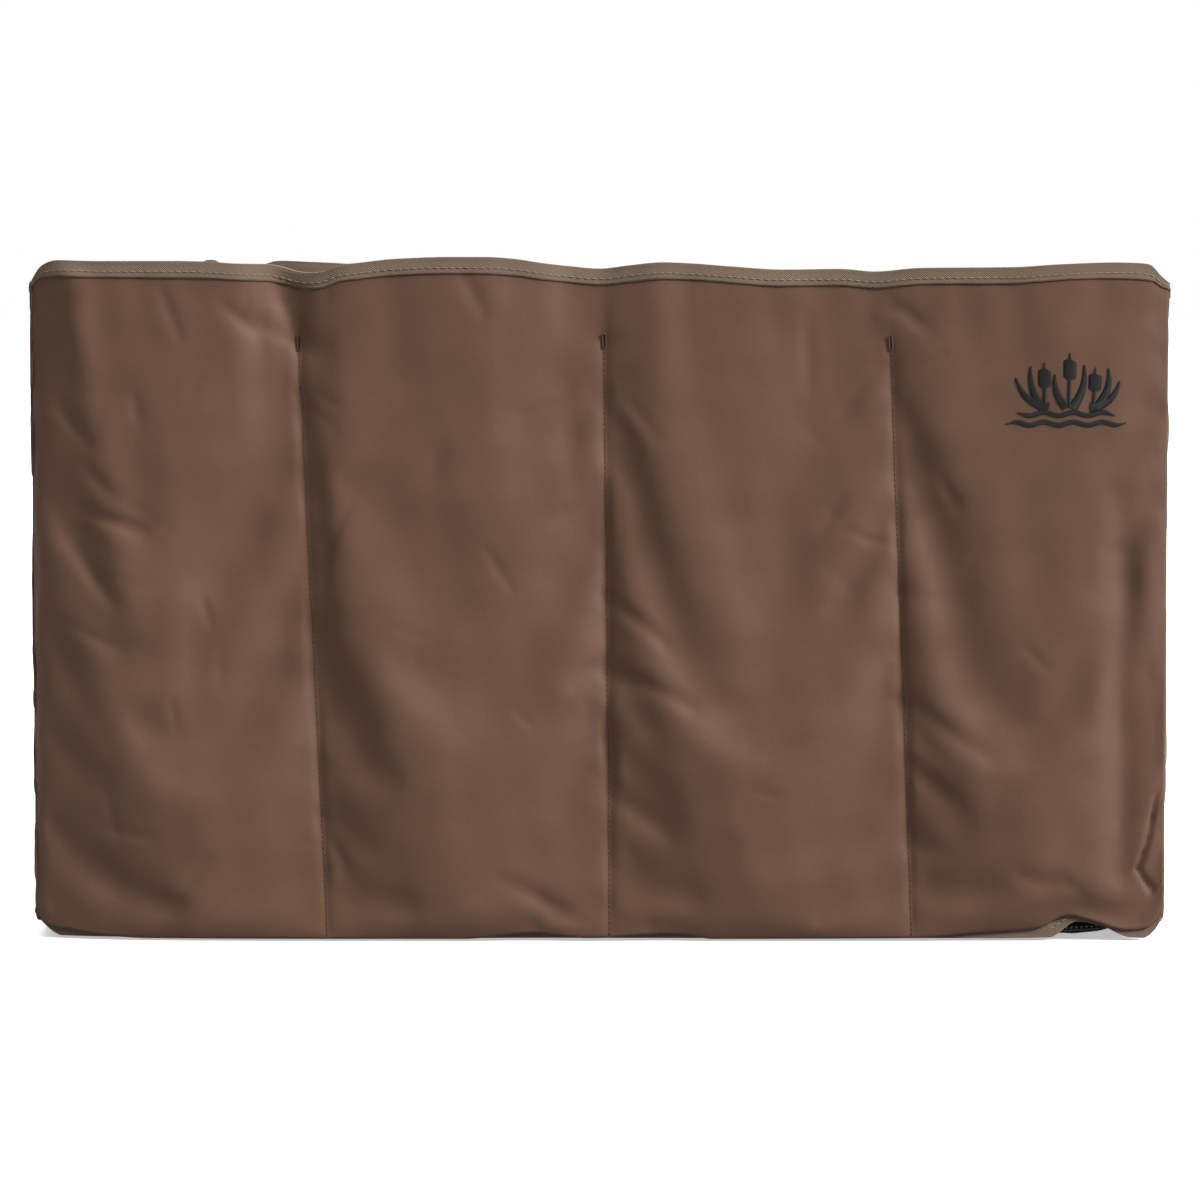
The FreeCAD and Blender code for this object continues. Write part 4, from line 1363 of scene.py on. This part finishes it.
def make_ring_tab(side_name, side):
    """Webbing that goes down the end panel, round the ring's bar and back up, sewn across twice."""
    node = f"{side_name}_ring_tab"
    top = high(node)[2]
    bar_x, bar_z = joint_place(f"{side_name}_ring_swing")
    sleeve = bar_x - FACE_X - 0.2 * MM
    under = [(FACE_X + 0.2 * MM, 0, z) for z in np.linspace(top, bar_z + 1 * MM, 8)]
    turn = np.radians(np.arange(0, 181, 15))
    loop = [(bar_x - sleeve * math.cos(a), 0, bar_z - sleeve * math.sin(a)) for a in turn]
    shut = FACE_X + 2 * WEB + 0.6 * MM
    over = [(shut + (bar_x + sleeve - shut) * max(0.0, 1 - t * 2.2) ** 1.6, 0, bar_z + t * (top - bar_z))
            for t in np.linspace(0.06, 1, 10)]
    path = np.array(under + loop + over)
    width = high(node)[1] - low(node)[1]
    grid, flat = ribbon(path, np.array([0, -1.0, 0]), width)
    grid = turned(grid, side)
    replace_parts(add_slab(f"{side_name}_tab_loop", grid, flat, WEB, "webbing"), node)
    stitches = []
    normals = grid_normals(grid)
    for back_from_end in (2, 5):
        stitches += stitch_line(grid[-back_from_end, 1:-1], normals[-back_from_end, 1:-1], TAB_STITCH)
    add_stitches(f"{side_name}_tab_stitches", stitches, TAB_THREAD, "black_thread")


def paint_ring(side_name):
    """The ring is the frame's own wire, in black metal."""
    ring = frame["nodes"][f"{side_name}_ring"]
    ring.data.materials.clear()
    ring.data.materials.append(MATERIALS["ring"])


# ---------------------------------------------------------------- embroidery


def bent(start, end, bow, steps=24):
    """A curve from start to end that bows to the side by a share of its length."""
    start, end = np.array(start, float), np.array(end, float)
    span = end - start
    share = np.linspace(0, 1, steps)[:, None]
    return start + span * share + np.array([-span[1], span[0]]) * bow * 4 * share * (1 - share)


def make_embroidery(wall):
    """Reeds over water in satin stitch: threads laid side by side across each stroke.

    Strokes are in mm from the middle of the mark, each with its width as a function of the share along it.
    """
    centre = middle("embroidered_mark")
    strokes = []
    for x, foot, head_low, head_high in ((-13, -10, 2, 14), (2, -10, 7, 20), (17, -10, 0, 11)):
        lean = 0.03 * x
        strokes.append((bent((x, foot), (x + lean, head_low), 0.02), lambda s: 2.1 + 0 * s))
        strokes.append((bent((x + lean, head_low), (x + lean * 1.6, head_high), 0.0),
                        lambda s: 8.2 * np.clip(4 * s * (1 - s) * 2.2, 0.1, 1) ** 0.5))
        strokes.append((bent((x + lean * 1.6, head_high), (x + lean * 2, head_high + 3.5), 0.0),
                        lambda s: 1.5 - 0.9 * s))
    blades = (((-11, -10), (-31, 8), 0.16), ((-15, -10), (-22, 15), 0.10), ((0, -10), (-7, 10), 0.12),
              ((4, -10), (11, 16), -0.10), ((15, -10), (33, 6), -0.18), ((19, -10), (26, 14), -0.12))
    for start, end, bow in blades:
        strokes.append((bent(start, end, bow), lambda s: 5.4 * (1 - s) ** 0.7 + 1.1))
    for height, first, last in ((-14, -30, 30), (-20, -37, 37)):
        x = np.linspace(first, last, 90)
        line = np.stack([x, height + 1.0 * np.sin(x * 2 * math.pi / 18)], 1)
        strokes.append((line, lambda s: 3.2 * np.clip(12 * s * (1 - s), 0.3, 1)))
    stitches = []
    pitch = 0.44
    for line, width_of in strokes:
        travelled = distances(line)
        count = max(2, int(travelled[-1] / pitch))
        for number in range(count + 1):
            at = travelled[-1] * number / count
            behind, point, ahead = (along_path(travelled, line, at + step) for step in (-0.2, 0, 0.2))
            heading = unit(ahead - behind)
            across = np.array([-heading[1], heading[0]]) * width_of(number / count) / 2
            slant = heading * 0.3
            ends = []
            for spot in (point - across - slant, point + across + slant):
                place, normal = wall.over(centre[0] + FACE_X + spot[0] * MM, centre[2] + spot[1] * MM)
                ends.append(place + normal * 0.1 * MM)
            stitches.append((*ends, normal))
    piece = add_stitches("reed_embroidery", stitches, MARK_THREAD, "black_thread", rise=1.3)
    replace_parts(piece, "embroidered_mark")
    return piece


# ---------------------------------------------------------------- the whole bag


def main():
    make_camera()
    make_studio()
    walls = make_walls()
    shape_walls(walls)
    cloths = make_cloth(walls)
    rim = make_rim_tape(walls)
    bottom, seam_line = make_bottom_tape(walls)
    seams = make_seam_threads(walls)
    make_corner_tapes(walls)
    mark = make_embroidery(walls[0])
    make_dividers(walls)
    make_net(seam_line)
    make_webbing(walls)
    for side_name, side in (("left", -1), ("right", 1)):
        make_handle(side_name, side)
        make_wrap(side_name, side)
        make_ring_tab(side_name, side)
        paint_ring(side_name)


main()
